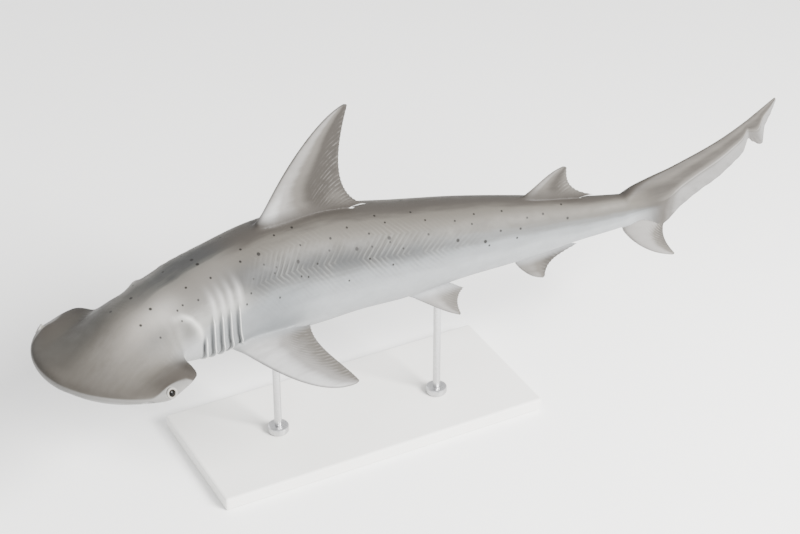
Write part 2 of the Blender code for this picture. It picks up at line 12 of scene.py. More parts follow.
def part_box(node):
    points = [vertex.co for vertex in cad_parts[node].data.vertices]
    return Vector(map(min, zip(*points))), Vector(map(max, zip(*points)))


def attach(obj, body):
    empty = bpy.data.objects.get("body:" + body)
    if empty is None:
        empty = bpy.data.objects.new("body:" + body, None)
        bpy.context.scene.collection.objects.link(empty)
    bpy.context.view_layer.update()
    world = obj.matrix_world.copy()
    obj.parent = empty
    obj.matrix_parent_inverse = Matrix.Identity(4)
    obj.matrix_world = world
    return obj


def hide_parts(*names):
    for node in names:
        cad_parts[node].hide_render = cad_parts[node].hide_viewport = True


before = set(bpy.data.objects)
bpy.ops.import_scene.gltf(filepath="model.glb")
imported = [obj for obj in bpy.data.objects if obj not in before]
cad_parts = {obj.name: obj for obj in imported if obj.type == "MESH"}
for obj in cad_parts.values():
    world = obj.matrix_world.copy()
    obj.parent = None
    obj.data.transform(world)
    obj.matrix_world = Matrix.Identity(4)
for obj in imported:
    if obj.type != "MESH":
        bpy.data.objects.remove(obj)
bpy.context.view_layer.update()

# The body and the upper lobe of the tail. On the animal they are one tough hide over muscle,
# from the rim of the hammer to the tip of the tail, so here they are one long form through
# rings. It is set out straight, in shares of the length, and the swimming pose bends its line.
LENGTH = 1.05
AXIS_HEIGHT = 0.262
AROUND = 144
BEND = [
    (0.00, 38.0), (0.06, 30.0), (0.12, 25.7), (0.16, 17.4), (0.20, 15.9), (0.25, 13.4),
    (0.36, -0.2), (0.50, -10.9), (0.64, -14.4), (0.78, -9.0), (1.00, -9.0),
]
BEND_STEPS = 200
MIDDLE = 0.4
HEAD_ROLL, HEAD_LIFT, ROLL_END, LIFT_END = 4.7, -0.0025, (0.10, 0.26), (0.00, 0.26)
ROD_PLACES = (0.315, 0.530)
WIDEST, HEAD_HALF_WIDTH, FRONT_POWER = 0.0696, 0.0969, 1.82
OUTLINE = [
    (0.0696, 0.0969), (0.0930, 0.0966), (0.1062, 0.0945), (0.1140, 0.0912), (0.1186, 0.0830),
    (0.1218, 0.0720), (0.1270, 0.0622), (0.1370, 0.0580), (0.1450, 0.0580), (0.170, 0.0610),
    (0.200, 0.0620), (0.250, 0.0610), (0.300, 0.0610), (0.360, 0.0605), (0.420, 0.0600),
    (0.480, 0.0560), (0.560, 0.0460), (0.640, 0.0330), (0.700, 0.0245), (0.765, 0.0160),
]
DEPTHS = [
    (0.000, 0.0000, 0.0000), (0.030, 0.0070, 0.0035), (0.060, 0.0180, 0.0095),
    (0.090, 0.0312, 0.0210), (0.120, 0.0402, 0.0285), (0.150, 0.0524, 0.0405),
    (0.170, 0.0550, 0.0480), (0.200, 0.0605, 0.0580), (0.250, 0.0655, 0.0670),
    (0.300, 0.0710, 0.0740), (0.360, 0.0710, 0.0780), (0.420, 0.0630, 0.0730),
    (0.480, 0.0540, 0.0700), (0.560, 0.0480, 0.0550), (0.640, 0.0400, 0.0430),
    (0.700, 0.0310, 0.0290), (0.765, 0.0245, 0.0205),
]
BLADE_HALF, BLADE_POWER, RIM_ROUND, BLADE_END = 0.0098, 5.0, 0.020, (0.100, 0.165)
CORE_REACH, CORE_FILL, CORE_FLAT, CORE_FILLING = 0.0634, (0.030, 0.165), 1.6, 1.1
EYE_S, EYE_Y, EYE_Z = 0.0615, 0.0945, 0.0043
BROW_REACH, BROW_HALF = 0.016, 0.0065
GILL_SLITS = ((0.1700, 14.0), (0.1815, 30.0), (0.1940, 29.0), (0.2065, 28.0), (0.2200, 28.0))
GILL_BOTTOM, GILL_FADE = -66.0, 18.0
GILL_CURVE = [
    (-75.0, 0.0150), (-58.0, 0.0140), (-35.0, 0.0105), (-12.0, 0.0015),
    (5.0, 0.0), (20.0, 0.0022), (40.0, 0.0060), (75.0, 0.0060),
]
GILL_REGION = ((0.142, 0.168), (0.232, 0.285))
GILL_SECTION = [
    (-0.0085, 0.0), (-0.0066, 0.0), (-0.0048, -0.16), (-0.0026, -0.50), (-0.0010, -0.90),
    (-0.0002, -1.0), (0.0006, -0.45), (0.0012, 0.60), (0.0019, 1.0), (0.0029, 0.50),
    (0.0042, 0.08), (0.0060, 0.0),
]
GILL_RISE, GILL_DROP = 0.0017, 0.0026
POUCH_BEHIND, POUCH_REACH, POUCH_RISE = 0.0052, 0.0042, 0.0011
POUCH_HIGH, POUCH_HEIGHT = 32.0, 15.0
NECK_FOLD = [
    (0.118, 36.0), (0.129, 42.0), (0.139, 44.0), (0.149, 41.0),
    (0.158, 33.0), (0.1635, 22.0), (0.165, 11.0), (0.1665, -2.0),
]
NECK_FOLD_WIDTH, NECK_FOLD_RISE = 0.0044, 0.0026
NECK_FOLD_GROWS, NECK_FOLD_FADES = (1.0, 4.0), (5.3, 7.0)
NECK_FOLD_REGION, NECK_RADIUS = (0.105, 0.185), 0.0580


def along(table, at):
    """The table's columns at this place, on smooth curves through its rows."""
    at = min(max(at, table[0][0]), table[-1][0])
    k = next(k for k in range(len(table) - 1) if at <= table[k + 1][0])
    before, here = table[max(k - 1, 0)], table[k]
    there, after = table[k + 1], table[min(k + 2, len(table) - 1)]
    span = there[0] - here[0]
    t = (at - here[0]) / span
    values = []
    for c in range(1, len(here)):
        leave = span * (there[c] - before[c]) / (there[0] - before[0])
        arrive = span * (after[c] - here[c]) / (after[0] - here[0])
        rise = here[c] + (there[c] - here[c]) * t * t * (3 - 2 * t)
        values.append(rise + leave * t * (1 - t) ** 2 - arrive * t * t * (1 - t))
    return values


def step(low, high, at):
    """0 before low, 1 after high, and smooth between them."""
    t = min(max((at - low) / (high - low), 0.0), 1.0)
    return t * t * (3 - 2 * t)


def hill(away, reach):
    """1 at the middle of a soft hill, and almost 0 at twice its reach."""
    return math.exp(-((away / reach) ** 2))


body_line = [Vector((0, 0, 0))]
for k in range(BEND_STEPS):
    turn = math.radians(along(BEND, (k + 0.5) / BEND_STEPS)[0])
    body_line.append(body_line[-1] + Vector((math.cos(turn), math.sin(turn), 0)) / BEND_STEPS)
middle = body_line[round(MIDDLE * BEND_STEPS)].copy()
body_line = [place - middle for place in body_line]
stand_low, stand_high = (Vector(corner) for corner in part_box("stand_base"))
feet = []
for s in ROD_PLACES:
    k = int(s * BEND_STEPS)
    feet.append(body_line[k].lerp(body_line[k + 1], s * BEND_STEPS % 1))
stand_middle = Vector(((feet[0].x + feet[1].x) / 2 * LENGTH, 0, 0))
home = (stand_low + stand_high) / 2 - stand_middle
home.z = AXIS_HEIGHT


def posed(s, y, z):
    """A point of the straight shark, in shares of its length, set in the swimming pose."""
    k = min(max(s, 0.0), 0.9999) * BEND_STEPS
    turn = math.radians(along(BEND, s)[0])
    ahead = Vector((math.cos(turn), math.sin(turn), 0))
    right = Vector((-math.sin(turn), math.cos(turn), 0))
    roll = math.radians(HEAD_ROLL) * (1 - step(*ROLL_END, s))
    aside = y * math.cos(roll) - z * math.sin(roll)
    over = y * math.sin(roll) + z * math.cos(roll) + HEAD_LIFT * (1 - step(*LIFT_END, s))
    on_line = body_line[int(k)].lerp(body_line[int(k) + 1], k - int(k)) + ahead * min(s, 0.0)
    return (on_line + right * aside + Vector((0, 0, over))) * LENGTH + home


def half_width(s):
    if s < WIDEST:
        ahead = (WIDEST - s) / WIDEST
        return HEAD_HALF_WIDTH * max(1 - ahead**FRONT_POWER, 0.0) ** (1 / FRONT_POWER)
    return along(OUTLINE, s)[0]


def skin_height(s, y, up):
    """How far the skin is over the line, or under it, at this place of the plan."""
    width = max(half_width(s), 1e-6)
    rounding = math.sqrt(1 - (1 - min(s / RIM_ROUND, 1.0)) ** 2) * (1 - step(*BLADE_END, s))
    core = along(DEPTHS, s)[0 if up else 1]
    reach = min(width, CORE_REACH)
    brow = BROW_HALF * math.exp(-((s - EYE_S) ** 2 + (abs(y) - EYE_Y) ** 2) / BROW_REACH**2)
    shelf = (BLADE_HALF + brow) * rounding * math.sqrt(1 - min(abs(y) / width, 1.0) ** BLADE_POWER)
    fullness = CORE_FLAT - CORE_FILLING * step(*CORE_FILL, s)
    return shelf + core * max(1 - min(abs(y) / reach, 1.0) ** 2, 0.0) ** fullness


def gill_level(s, rise):
    """Where this place is in the section of the nearest gill slit: -1 in its groove, 1 on its edge."""
    level = 0.0
    for slit, top in GILL_SLITS:
        if GILL_SECTION[0][0] < s - slit < GILL_SECTION[-1][0]:
            ends = step(GILL_BOTTOM, GILL_BOTTOM + GILL_FADE, rise) * (1 - step(top - GILL_FADE, top, rise))
            level += along(GILL_SECTION, s - slit)[0] * ends
    return max(min(level, 1.0), -1.0)


def pouch(s, rise):
    """The soft swelling over each slit, where the gill's pouch lies under the skin."""
    along_side = sum(hill(s - slit - POUCH_BEHIND, POUCH_REACH) for slit, _ in GILL_SLITS[1:])
    return along_side * hill(rise - POUCH_HIGH, POUCH_HEIGHT)


def neck_fold(s, rise):
    """The soft fold that arches from behind the hammer down in front of the first slit."""
    here = Vector((s, math.radians(rise) * NECK_RADIUS))
    points = [Vector((at, math.radians(turn) * NECK_RADIUS)) for at, turn in NECK_FOLD]
    nearest, level = 1.0, 0.0
    for k, (start, end) in enumerate(zip(points, points[1:])):
        t = min(max((here - start).dot(end - start) / (end - start).length_squared, 0.0), 1.0)
        away = (here - start.lerp(end, t)).length
        if away < nearest:
            nearest = away
            level = step(*NECK_FOLD_GROWS, k + t) * (1 - step(*NECK_FOLD_FADES, k + t))
    return hill(nearest, NECK_FOLD_WIDTH) * level


def body_ring(s):
    """Points round the body, from its right side over the back, with what is known of each."""
    before, behind = GILL_REGION
    by_gills = step(*before, s) * (1 - step(*behind, s))
    ring = []
    for k in range(AROUND):
        turn = 2 * math.pi * k / AROUND
        up = math.sin(turn) >= 0
        y = half_width(s) * math.cos(turn)
        rise = math.degrees(math.atan2(skin_height(s, y, up) * (1 if up else -1), abs(y) + 1e-9))
        at = s + (along(GILL_CURVE, rise)[0] * by_gills if by_gills else 0.0)
        y = half_width(at) * math.cos(turn)
        z = skin_height(at, y, up) * (1 if up else -1)
        gill = gill_level(s, rise) if by_gills else 0.0
        lift = gill * (GILL_RISE if gill > 0 else GILL_DROP)
        fold = neck_fold(at, rise) if NECK_FOLD_REGION[0] < s < NECK_FOLD_REGION[1] else 0.0
        swell = pouch(s, rise) if by_gills else 0.0
        lift += NECK_FOLD_RISE * fold + POUCH_RISE * swell
        y += math.cos(turn) * lift / LENGTH
        z += math.sin(turn) * lift / LENGTH
        mark = Vector((0, 0, 0)), Vector((fold, swell, gill))
        ring.append((posed(at, y, z), Vector((at, y, z)), *mark))
    return ring


def spread(start, end, count, bias=1.0):
    return [start + (end - start) * (k / count) ** bias for k in range(count)]


# The rings lie closest round the front rim and over the gills.
STRETCHES = ((WIDEST, 0.142, 58), (0.142, 0.162, 13), (0.162, 0.228, 84), (0.228, 0.760, 100))
body_stations = [WIDEST * (1 - math.cos(math.radians(a))) for a in spread(1.0, 90.0, 26, 1.1)]
for start, end, count in STRETCHES:
    body_stations += spread(start, end, count)

# The tail's upper lobe: its upper and lower edge in the middle plane, and its thickness. The
# section goes from the stalk's oval to a thin blade, whose rays fan back to the lower edge.
TAIL_UPPER_LOBE = [
    (0, 0.7653, 0.0245, 0.7653, -0.0205, 0.0320), (1, 0.7800, 0.0345, 0.7860, -0.0225, 0.0240),
    (2, 0.8030, 0.0435, 0.8080, -0.0255, 0.0170), (3, 0.8265, 0.0510, 0.8262, -0.0290, 0.0130),
    (4, 0.8490, 0.0595, 0.8470, -0.0080, 0.0110), (5, 0.8725, 0.0690, 0.8720, 0.0105, 0.0095),
    (6, 0.8940, 0.0790, 0.8955, 0.0245, 0.0080), (7, 0.9110, 0.0885, 0.9170, 0.0430, 0.0068),
    (8, 0.9215, 0.0950, 0.9290, 0.0560, 0.0058), (9, 0.9270, 0.0985, 0.9337, 0.0735, 0.0052),
    (10, 0.9310, 0.1012, 0.9400, 0.0690, 0.0046), (11, 0.9385, 0.1070, 0.9541, 0.0635, 0.0040),
    (12, 0.9470, 0.1130, 0.9552, 0.0870, 0.0034), (13, 0.9570, 0.1205, 0.9612, 0.1035, 0.0028),
    (14, 0.9640, 0.1255, 0.9660, 0.1190, 0.0020),
]
TAIL_ROUND_ROWS, TAIL_FINENESS = 3.5, 6
TAIL_RAY_ROWS, TAIL_RAY_FAN = 0.62, 2.4
TAIL_WEB, TAIL_WEB_ROWS, TAIL_RAYS_START = (0.30, 0.62), (2.0, 4.0), (3.2, 4.2)
TAIL_TIP_ROUND, TAIL_TIP_FROM = 0.0022, (0.955, 0, 0.113)
FULLNESS, FALL, TAPER = 2.6, 1.1, 0.35
EDGE = 0.0008
SCALLOP = 0.0008


def fin_fullness(x):
    """Share of a fin's thickness at x of the way from its leading to its rear edge."""
    return FULLNESS * math.sqrt(max(x, 0.0)) * max(1 - x, 0.0) ** FALL * (1 - TAPER * x)


def tail_ring(row):
    top_s, top_z, low_s, low_z, thick = along(TAIL_UPPER_LOBE, row)
    round_share = max(1 - row / TAIL_ROUND_ROWS, 0.0)
    down = Vector((low_s - top_s, low_z - top_z)).normalized()
    scallop = SCALLOP / LENGTH * (0.5 + 0.5 * math.cos(2 * math.pi * row / TAIL_RAY_ROWS))
    scallop *= step(*TAIL_RAYS_START, row)
    ring = []
    for k in range(AROUND):
        turn = 2 * math.pi * k / AROUND
        x = (1 - math.sin(turn)) / 2
        side = 0 if abs(math.cos(turn)) < 1e-6 else math.copysign(1, math.cos(turn))
        by_edge = step(0.93, 1.0, x)
        s = top_s + (low_s - top_s) * x + down.x * scallop * by_edge
        z = top_z + (low_z - top_z) * x + down.y * scallop * by_edge
        half = round_share * math.sqrt(max(x * (1 - x), 0.0)) + (1 - round_share) * fin_fullness(x) / 2
        half *= thick
        half += EDGE / LENGTH * step(0.0, 0.3, x) * (1 - round_share) / 2
        fan = row / TAIL_RAY_ROWS - TAIL_RAY_FAN * x
        web = step(*TAIL_WEB, x) * step(*TAIL_WEB_ROWS, row)
        dusk = 0.88 - 0.14 * step(0.0, 0.10, x) * (1 - step(0.10, 0.22, x)) - 0.84 * web
        dusk += 0.30 * hill(row - 10.1, 0.9) * step(0.2, 0.6, x)
        dusk += 0.02 * hill(x - 0.42, 0.09) * step(*TAIL_WEB_ROWS, row)
        mark = Vector((step(0.3, 3.0, row), fan, x)), Vector((dusk, 0.0 if x < 0.5 else 1.0, 0.0))
        ring.append((posed(s, side * half, z), Vector((s, side * half, z)), *mark))
    return ring


def tail_tip(ring):
    """Rings that round off the last one, towards the way the tail points."""
    middle = sum((entry[0] for entry in ring), Vector()) / len(ring)
    away = (middle - posed(*TAIL_TIP_FROM)).normalized()
    closing = []
    for angle in (30, 60, 80):
        shrink, ahead = math.cos(math.radians(angle)), math.sin(math.radians(angle)) * TAIL_TIP_ROUND
        closing.append([(middle + (place - middle) * shrink + away * ahead, *rest) for place, *rest in ring])
    return closing


known_places = []


def rolled_form(name, rings):
    """A closed form through rings of points: a grid rolled up, with its seam and ends closed."""
    shape = bmesh.new()
    bmesh.ops.create_grid(shape, x_segments=len(rings) - 1, y_segments=len(rings[0]), size=1.0)
    for v in shape.verts:
        ring = rings[round((v.co.x + 1) / 2 * (len(rings) - 1))]
        v.co = ring[round((v.co.y + 1) / 2 * len(ring)) % len(ring)][0]
    bmesh.ops.remove_doubles(shape, verts=shape.verts, dist=2e-6)
    bmesh.ops.holes_fill(shape, edges=[e for e in shape.edges if e.is_boundary], sides=0)
    bmesh.ops.triangulate(shape, faces=[f for f in shape.faces if len(f.verts) > 4])
    bmesh.ops.recalc_face_normals(shape, faces=shape.faces)
    if shape.calc_volume(signed=True) < 0:
        bmesh.ops.reverse_faces(shape, faces=shape.faces)
    mesh = bpy.data.meshes.new(name)
    shape.to_mesh(mesh)
    shape.free()
    made = bpy.data.objects.new(name, mesh)
    bpy.context.scene.collection.objects.link(made)
    known_places.extend(entry for ring in rings for entry in ring)
    return made


body_rings = [body_ring(s) for s in body_stations]
body_rings += [tail_ring(k / TAIL_FINENESS) for k in range(14 * TAIL_FINENESS + 1)]
skin = rolled_form("bonnethead_skin", body_rings + tail_tip(body_rings[-1]))

# The fins. Each is a stiff thin blade of skin over fine rays, which run out from its root to a
# faintly scalloped rear edge, and it grows out of the body over a soft flare. An outline is two
# curves in the fin's own plane. Its dusk goes by v, from root to margin, and x, from front to rear.
FIRST_DORSAL = {
    "leading": [(0.2970, 0.0700), (0.3330, 0.1370), (0.3860, 0.1965), (0.4125, 0.2025)],
    "trailing": [(0.4385, 0.0640), (0.3920, 0.0845), (0.4025, 0.1500), (0.4165, 0.2005)],
    "buried": [(0.3020, 0.0500), (0.3920, 0.0480)],
    "thick": (0.0150, 0.0022), "white_lip_highlight": 1.0,
    "rays": 26, "rows": (26, 15), "flare": (0.0065, 0.0085),
    "dusk": lambda v, x: (
        0.26 + 0.24 * step(0.1, 0.4, v) + 0.58 * hill(x - 0.66, 0.26) * step(0.15, 0.5, v)
        + 0.25 * step(0.6, 1.0, v) * step(0.0, 0.3, x) - 0.22 * hill(x - 0.12, 0.12)
    ),
}
SECOND_DORSAL = {
    "leading": [(0.634, 0.0400), (0.650, 0.0520), (0.668, 0.0740), (0.6850, 0.0778)],
    "trailing": [(0.7290, 0.0315), (0.690, 0.0420), (0.6900, 0.060), (0.6900, 0.0762)],
    "buried": [(0.638, 0.020), (0.696, 0.018)],
    "thick": (0.0080, 0.0016), "white_lip_highlight": 1.0,
    "rays": 12, "rows": (18, 10), "flare": (0.0030, 0.0050),
    "dusk": lambda v, x: (
        0.58 + 0.35 * hill(x - 0.6, 0.3) * step(0.3, 0.7, v) - 0.2 * hill(x - 0.12, 0.12)
    ),
}
ANAL = {
    "leading": [(0.624, -0.0450), (0.635, -0.0640), (0.652, -0.0790), (0.6655, -0.0790)],
    "trailing": [(0.7090, -0.0355), (0.684, -0.0480), (0.669, -0.0540), (0.6685, -0.0775)],
    "buried": [(0.628, -0.024), (0.694, -0.014)],
    "thick": (0.0080, 0.0016), "rays": 12, "rows": (18, 10), "flare": (0.0028, 0.0050),
    "dusk": lambda v, x: 0.50 + 0.42 * step(0.3, 1.0, x) * step(0.3, 0.8, v),
}
TAIL_LOWER_LOBE = {
    "leading": [(0.765, -0.0205), (0.782, -0.0490), (0.812, -0.0730), (0.8430, -0.0785)],
    "trailing": [(0.8265, -0.0290), (0.8235, -0.0440), (0.831, -0.0590), (0.8452, -0.0765)],
    "buried": [(0.772, -0.006), (0.824, -0.012)],
    "thick": (0.0120, 0.0018), "rays": 14, "rows": (16, 12), "flare": (0.0022, 0.0050),
    "dusk": lambda v, x: (
        0.34 + 0.45 * step(0.35, 1.0, x) * step(0.4, 0.9, v) + 0.12 * hill(x - 0.05, 0.06)
    ),
}
PECTORAL = {
    "leading": [(0.2285, -0.0070), (0.2420, 0.0470), (0.2690, 0.1170), (0.3200, 0.1140)],
    "trailing": [(0.3280, 0.0100), (0.3080, 0.0400), (0.3240, 0.0800), (0.3235, 0.1110)],
    "buried": [(0.2340, -0.0220), (0.2960, -0.0220)],
    "thick": (0.0165, 0.0022), "rays": 22, "rows": (24, 15), "flare": (0.0045, 0.0070),
    "dusk": lambda v, x: (
        0.10 + 0.42 * step(0.2, 1.0, x) * step(0.15, 0.7, v) + 0.10 * step(0.7, 1.0, v)
    ),
}
PELVIC = {
    "leading": [(0.4770, -0.0040), (0.5030, 0.0105), (0.5240, 0.0280), (0.5460, 0.0345)],
    "trailing": [(0.5570, 0.0020), (0.5460, 0.0100), (0.5440, 0.0200), (0.5478, 0.0330)],
    "buried": [(0.4860, -0.018), (0.5360, -0.018)],
    "thick": (0.0080, 0.0016), "rays": 12, "rows": (18, 10), "flare": (0.0025, 0.0045),
    "dusk": lambda v, x: 0.34 + 0.38 * step(0.2, 1.0, x) * step(0.2, 0.8, v),
}
PECTORAL_ROOT = (0.265, (0.0475, -0.0455), 14.0)
PELVIC_ROOT = (0.520, (0.0185, -0.0635), 50.0)
TAIL_UNDERSIDE = [(0.765, 0.0205), (0.786, 0.0225), (0.808, 0.0255), (0.8262, 0.0290), (0.870, 0.0000)]
THINNING = 0.8
TIP_SHARE, TIP_BULGE = 0.045, 0.006
FLARE_SHIFT, FLARE_FALL = 0.9, 6
RAY_RAISE = 0.00012
RIM_SHARE = 0.02
FIN_COLOUR_REACH = 0.018


def curve_point(points, t):
    """A point of a Bezier curve, as a complex number."""
    a, b, c, d = (complex(*p) for p in points)
    return a * (1 - t) ** 3 + 3 * b * t * (1 - t) ** 2 + 3 * c * t * t * (1 - t) + d * t**3


def over_skin(s, y, z):
    """How far a point is outside the body's oval section, in shares of the length."""
    if s > TAIL_UNDERSIDE[0][0]:
        return -z - along(TAIL_UNDERSIDE, s)[0]
    width, deep = half_width(s), along(DEPTHS, s)[0 if z > 0 else 1]
    reach = math.hypot(y, z)
    return reach * (1 - 1 / max(math.hypot(y / width, z / deep), 1e-6))


def in_middle(s, z, off):
    return posed(s, off, z), Vector((s, off, z))


def beside(side, rooted, root, droop):
    """Places a stiff paired fin: out from the body's side where it is rooted, and down by its droop."""
    across, down = math.cos(math.radians(droop)), math.sin(math.radians(droop))
    turn = math.radians(along(BEND, rooted)[0])
    ahead = Vector((math.cos(turn), math.sin(turn), 0)) * LENGTH

    def place(s, reach, off):
        y = root[0] + reach * across + off * down
        z = root[1] - reach * down + off * across
        return posed(rooted, side * y, z) + ahead * (s - rooted), Vector((s, side * y, z))

    return place


def fin_form(name, fin, place):
    """A fin through rings that step out along its rays, from the buried root to the margin."""
    columns = 4 * fin["rays"]
    sunk, root = complex(*fin["buried"][0]), complex(*fin["leading"][0])
    tip_front, tip_rear = complex(*fin["leading"][3]), complex(*fin["trailing"][3])
    sunk_share = abs(root - sunk) / (abs(root - sunk) + abs(tip_front - root))
    near, far = fin["rows"]
    steps = [0.0, 0.05, *spread(0.09, 0.45, near), *spread(0.45, 0.94, far), 0.94, 0.965, 0.985, 1.0]
    rings = []
    for v in steps:
        if v < sunk_share:
            lead = sunk + (root - sunk) * v / sunk_share
        else:
            lead = curve_point(fin["leading"], (v - sunk_share) / (1 - sunk_share))
        out = (lead - sunk) / (tip_front - sunk)
        ring = []
        for k in range(2 * columns):
            u = min(k, 2 * columns - k) / columns
            face = 0 if k in (0, columns) or v == 1.0 else (1 if k < columns else -1)
            start = sunk + (complex(*fin["buried"][1]) - sunk) * u
            if u < TIP_SHARE:
                end = tip_front + (tip_rear - tip_front) * u / TIP_SHARE
                end += (tip_front - sunk) * TIP_BULGE * math.sin(math.pi * u / TIP_SHARE)
            else:
                end = curve_point(fin["trailing"], 1 - (u - TIP_SHARE) / (1 - TIP_SHARE))
            wave = math.cos(2 * math.pi * fin["rays"] * u) * step(0.0, 0.08, u)
            along_ray = out * (end - start)
            scallop = SCALLOP * (0.5 + 0.5 * wave) * step(0.9, 1.0, v)
            point = start + along_ray * (1 + scallop / LENGTH / abs(end - start))
            x = u / (u + (1 - u) * (1 - v) + 1e-9) if u else 0.0
            span = v * (1 - u) ** THINNING
            height = over_skin(*place(point.real, point.imag, 0.0)[1])
            flare = math.exp(-max(height, 0.0) * LENGTH / fin["flare"][1]) * fin["flare"][0] / LENGTH
            thick = fin["thick"][0] + (fin["thick"][1] - fin["thick"][0]) * span**THINNING + 2 * flare
            across_fin = (tip_front - sunk) / abs(tip_front - sunk) * 1j
            point += across_fin * flare * (1 - u) ** FLARE_FALL * FLARE_SHIFT
            half = (thick * fin_fullness(x) + EDGE / LENGTH * step(0.0, 0.3, x)) / 2
            half += RAY_RAISE / LENGTH * wave * step(0.45, 0.85, x) * (1 - step(0.97, 1.0, v))
            where, straight = place(point.real, point.imag, face * half)
            share = 1.0 if fin is TAIL_LOWER_LOBE else step(0.0, FIN_COLOUR_REACH, height)
            rim = max(1 - u / RIM_SHARE, 0.0) * step(0.1, 0.4, v)
            lip_highlight = fin.get("white_lip_highlight", 0.0) * step(0.968, 0.985, u) * step(0.3, 0.6, v)
            on_ray = Vector((share, fin["rays"] * u, x * step(0.1, 0.5, v)))
            ring.append((where, straight, on_ray, Vector((fin["dusk"](v, x), rim, lip_highlight))))
        rings.append(ring)
    return rolled_form(name, rings)


fin_places = {
    "first_dorsal": (FIRST_DORSAL, in_middle),
    "second_dorsal": (SECOND_DORSAL, in_middle),
    "anal": (ANAL, in_middle),
    "tail_lower_lobe": (TAIL_LOWER_LOBE, in_middle),
    "pectoral_left": (PECTORAL, beside(-1, *PECTORAL_ROOT)),
    "pectoral_right": (PECTORAL, beside(1, *PECTORAL_ROOT)),
    "pelvic_left": (PELVIC, beside(-1, *PELVIC_ROOT)),
    "pelvic_right": (PELVIC, beside(1, *PELVIC_ROOT)),
}
fins = [fin_form(name, fin, place) for name, (fin, place) in fin_places.items()]

# One skin. The fins grow out of the body with no seam, so all are joined to one closed form, and
# each root and the top of the neck are smoothed over. What is known of each place is kept for the
# colours: where it was on the straight shark, which ray of a fin it is on, and how dusky it is.
ROOT_BANDS = ((0.0075, 3), (0.0055, 4), (0.0035, 6))
NECK_BANDS = (
    (0.094, 0.146, 0.073, 3), (0.100, 0.141, 0.070, 4), (0.105, 0.137, 0.067, 6),
    (0.110, 0.133, 0.064, 8), (0.114, 0.130, 0.060, 8),
)
MARKS = ("straight", "fin", "tone")
NEW_PLACE = 2e-5


def combine(target, piece, operation):
    modifier = target.modifiers.new("combine", "BOOLEAN")
    modifier.operation, modifier.solver, modifier.object = operation, "MANIFOLD", piece
    bpy.context.view_layer.update()
    mesh = bpy.data.meshes.new_from_object(target.evaluated_get(bpy.context.evaluated_depsgraph_get()))
    target.modifiers.clear()
    target.data = mesh
    bpy.data.objects.remove(piece)


def relax(shape, verts, times):
    for _ in range(times):
        bmesh.ops.smooth_vert(
            shape, verts=verts, factor=0.5, use_axis_x=True, use_axis_y=True, use_axis_z=True
        )


def marked(target, places, bands):
    """The form with its marks from the nearest known places, smoothed near each new place."""
    known = KDTree(len(places))
    for index, place in enumerate(places):
        known.insert(place[0], index)
    known.balance()
    shape = bmesh.new()
    shape.from_mesh(target.data)
    held = shape.verts.layers.float_vector
    for name in MARKS:
        if name not in held:
            held.new(name)
    layers = [held[name] for name in MARKS]
    new_places = []
    for v in shape.verts:
        _, index, away = known.find(v.co)
        for layer, value in zip(layers, places[index][1:]):
            v[layer] = value
        if away > NEW_PLACE:
            new_places.append(v.co.copy())
    joins = KDTree(len(new_places))
    for index, place in enumerate(new_places):
        joins.insert(place, index)
    joins.balance()
    reach = {v: joins.find(v.co)[2] for v in shape.verts}
    for band, times in bands:
        relax(shape, [v for v in shape.verts if reach[v] < band], times)
    shape.to_mesh(target.data)
    places = [(v.co.copy(), *(v[layer].copy() for layer in layers)) for v in shape.verts]
    shape.free()
    return places


for fin in fins:
    combine(skin, fin, "UNION")
known_places = marked(skin, known_places, ROOT_BANDS)
shape = bmesh.new()
shape.from_mesh(skin.data)
straight_place = shape.verts.layers.float_vector["straight"]
for front, back, half, times in NECK_BANDS:
    neck = []
    for v in shape.verts:
        s, y, z = v[straight_place]
        if front < s < back and abs(y) < half and z > 0:
            neck.append(v)
    relax(shape, neck, times)
shape.to_mesh(skin.data)
known_places = [(v.co.copy(), *rest) for v, (_, *rest) in zip(shape.verts, known_places)]
shape.free()

# The mouth, nostrils and eyelids, all of the same skin. The mouth is a crescent under the hammer
# between soft lips, a nostril is a slot let in under each side of the front rim, and each eye
# has a raised lid round it and a socket behind.
MOUTH_PARTS = 64
MOUTH_FRONT, MOUTH_BACK, MOUTH_HALF, MOUTH_POWER = 0.078, 0.105, 0.034, 2.2
LIP_TUBE, LIP_SINK, MOUTH_TUBE, MOUTH_RISE = 0.0030, 0.0014, 0.0013, 0.0012
EYE_FORWARD, EYE_UP = 20.0, 28.0
EYE_RADIUS, EYE_SINK = 0.0068, 0.0053
LID_RADIUS, LID_TUBE, LID_OUT, LID_PARTS = 0.0056, 0.0015, 0.0051, 24
NOSTRIL_S, NOSTRIL_INSET, NOSTRIL_Z = 0.0345, 0.0012, -0.0022
NOSTRIL_SIZE = (0.0070, 0.0022, 0.0030)
SOCKET_GAP = 0.0003
TUBE_END, TUBE_THIN = 0.16, 0.25
SHARP = math.radians(70)


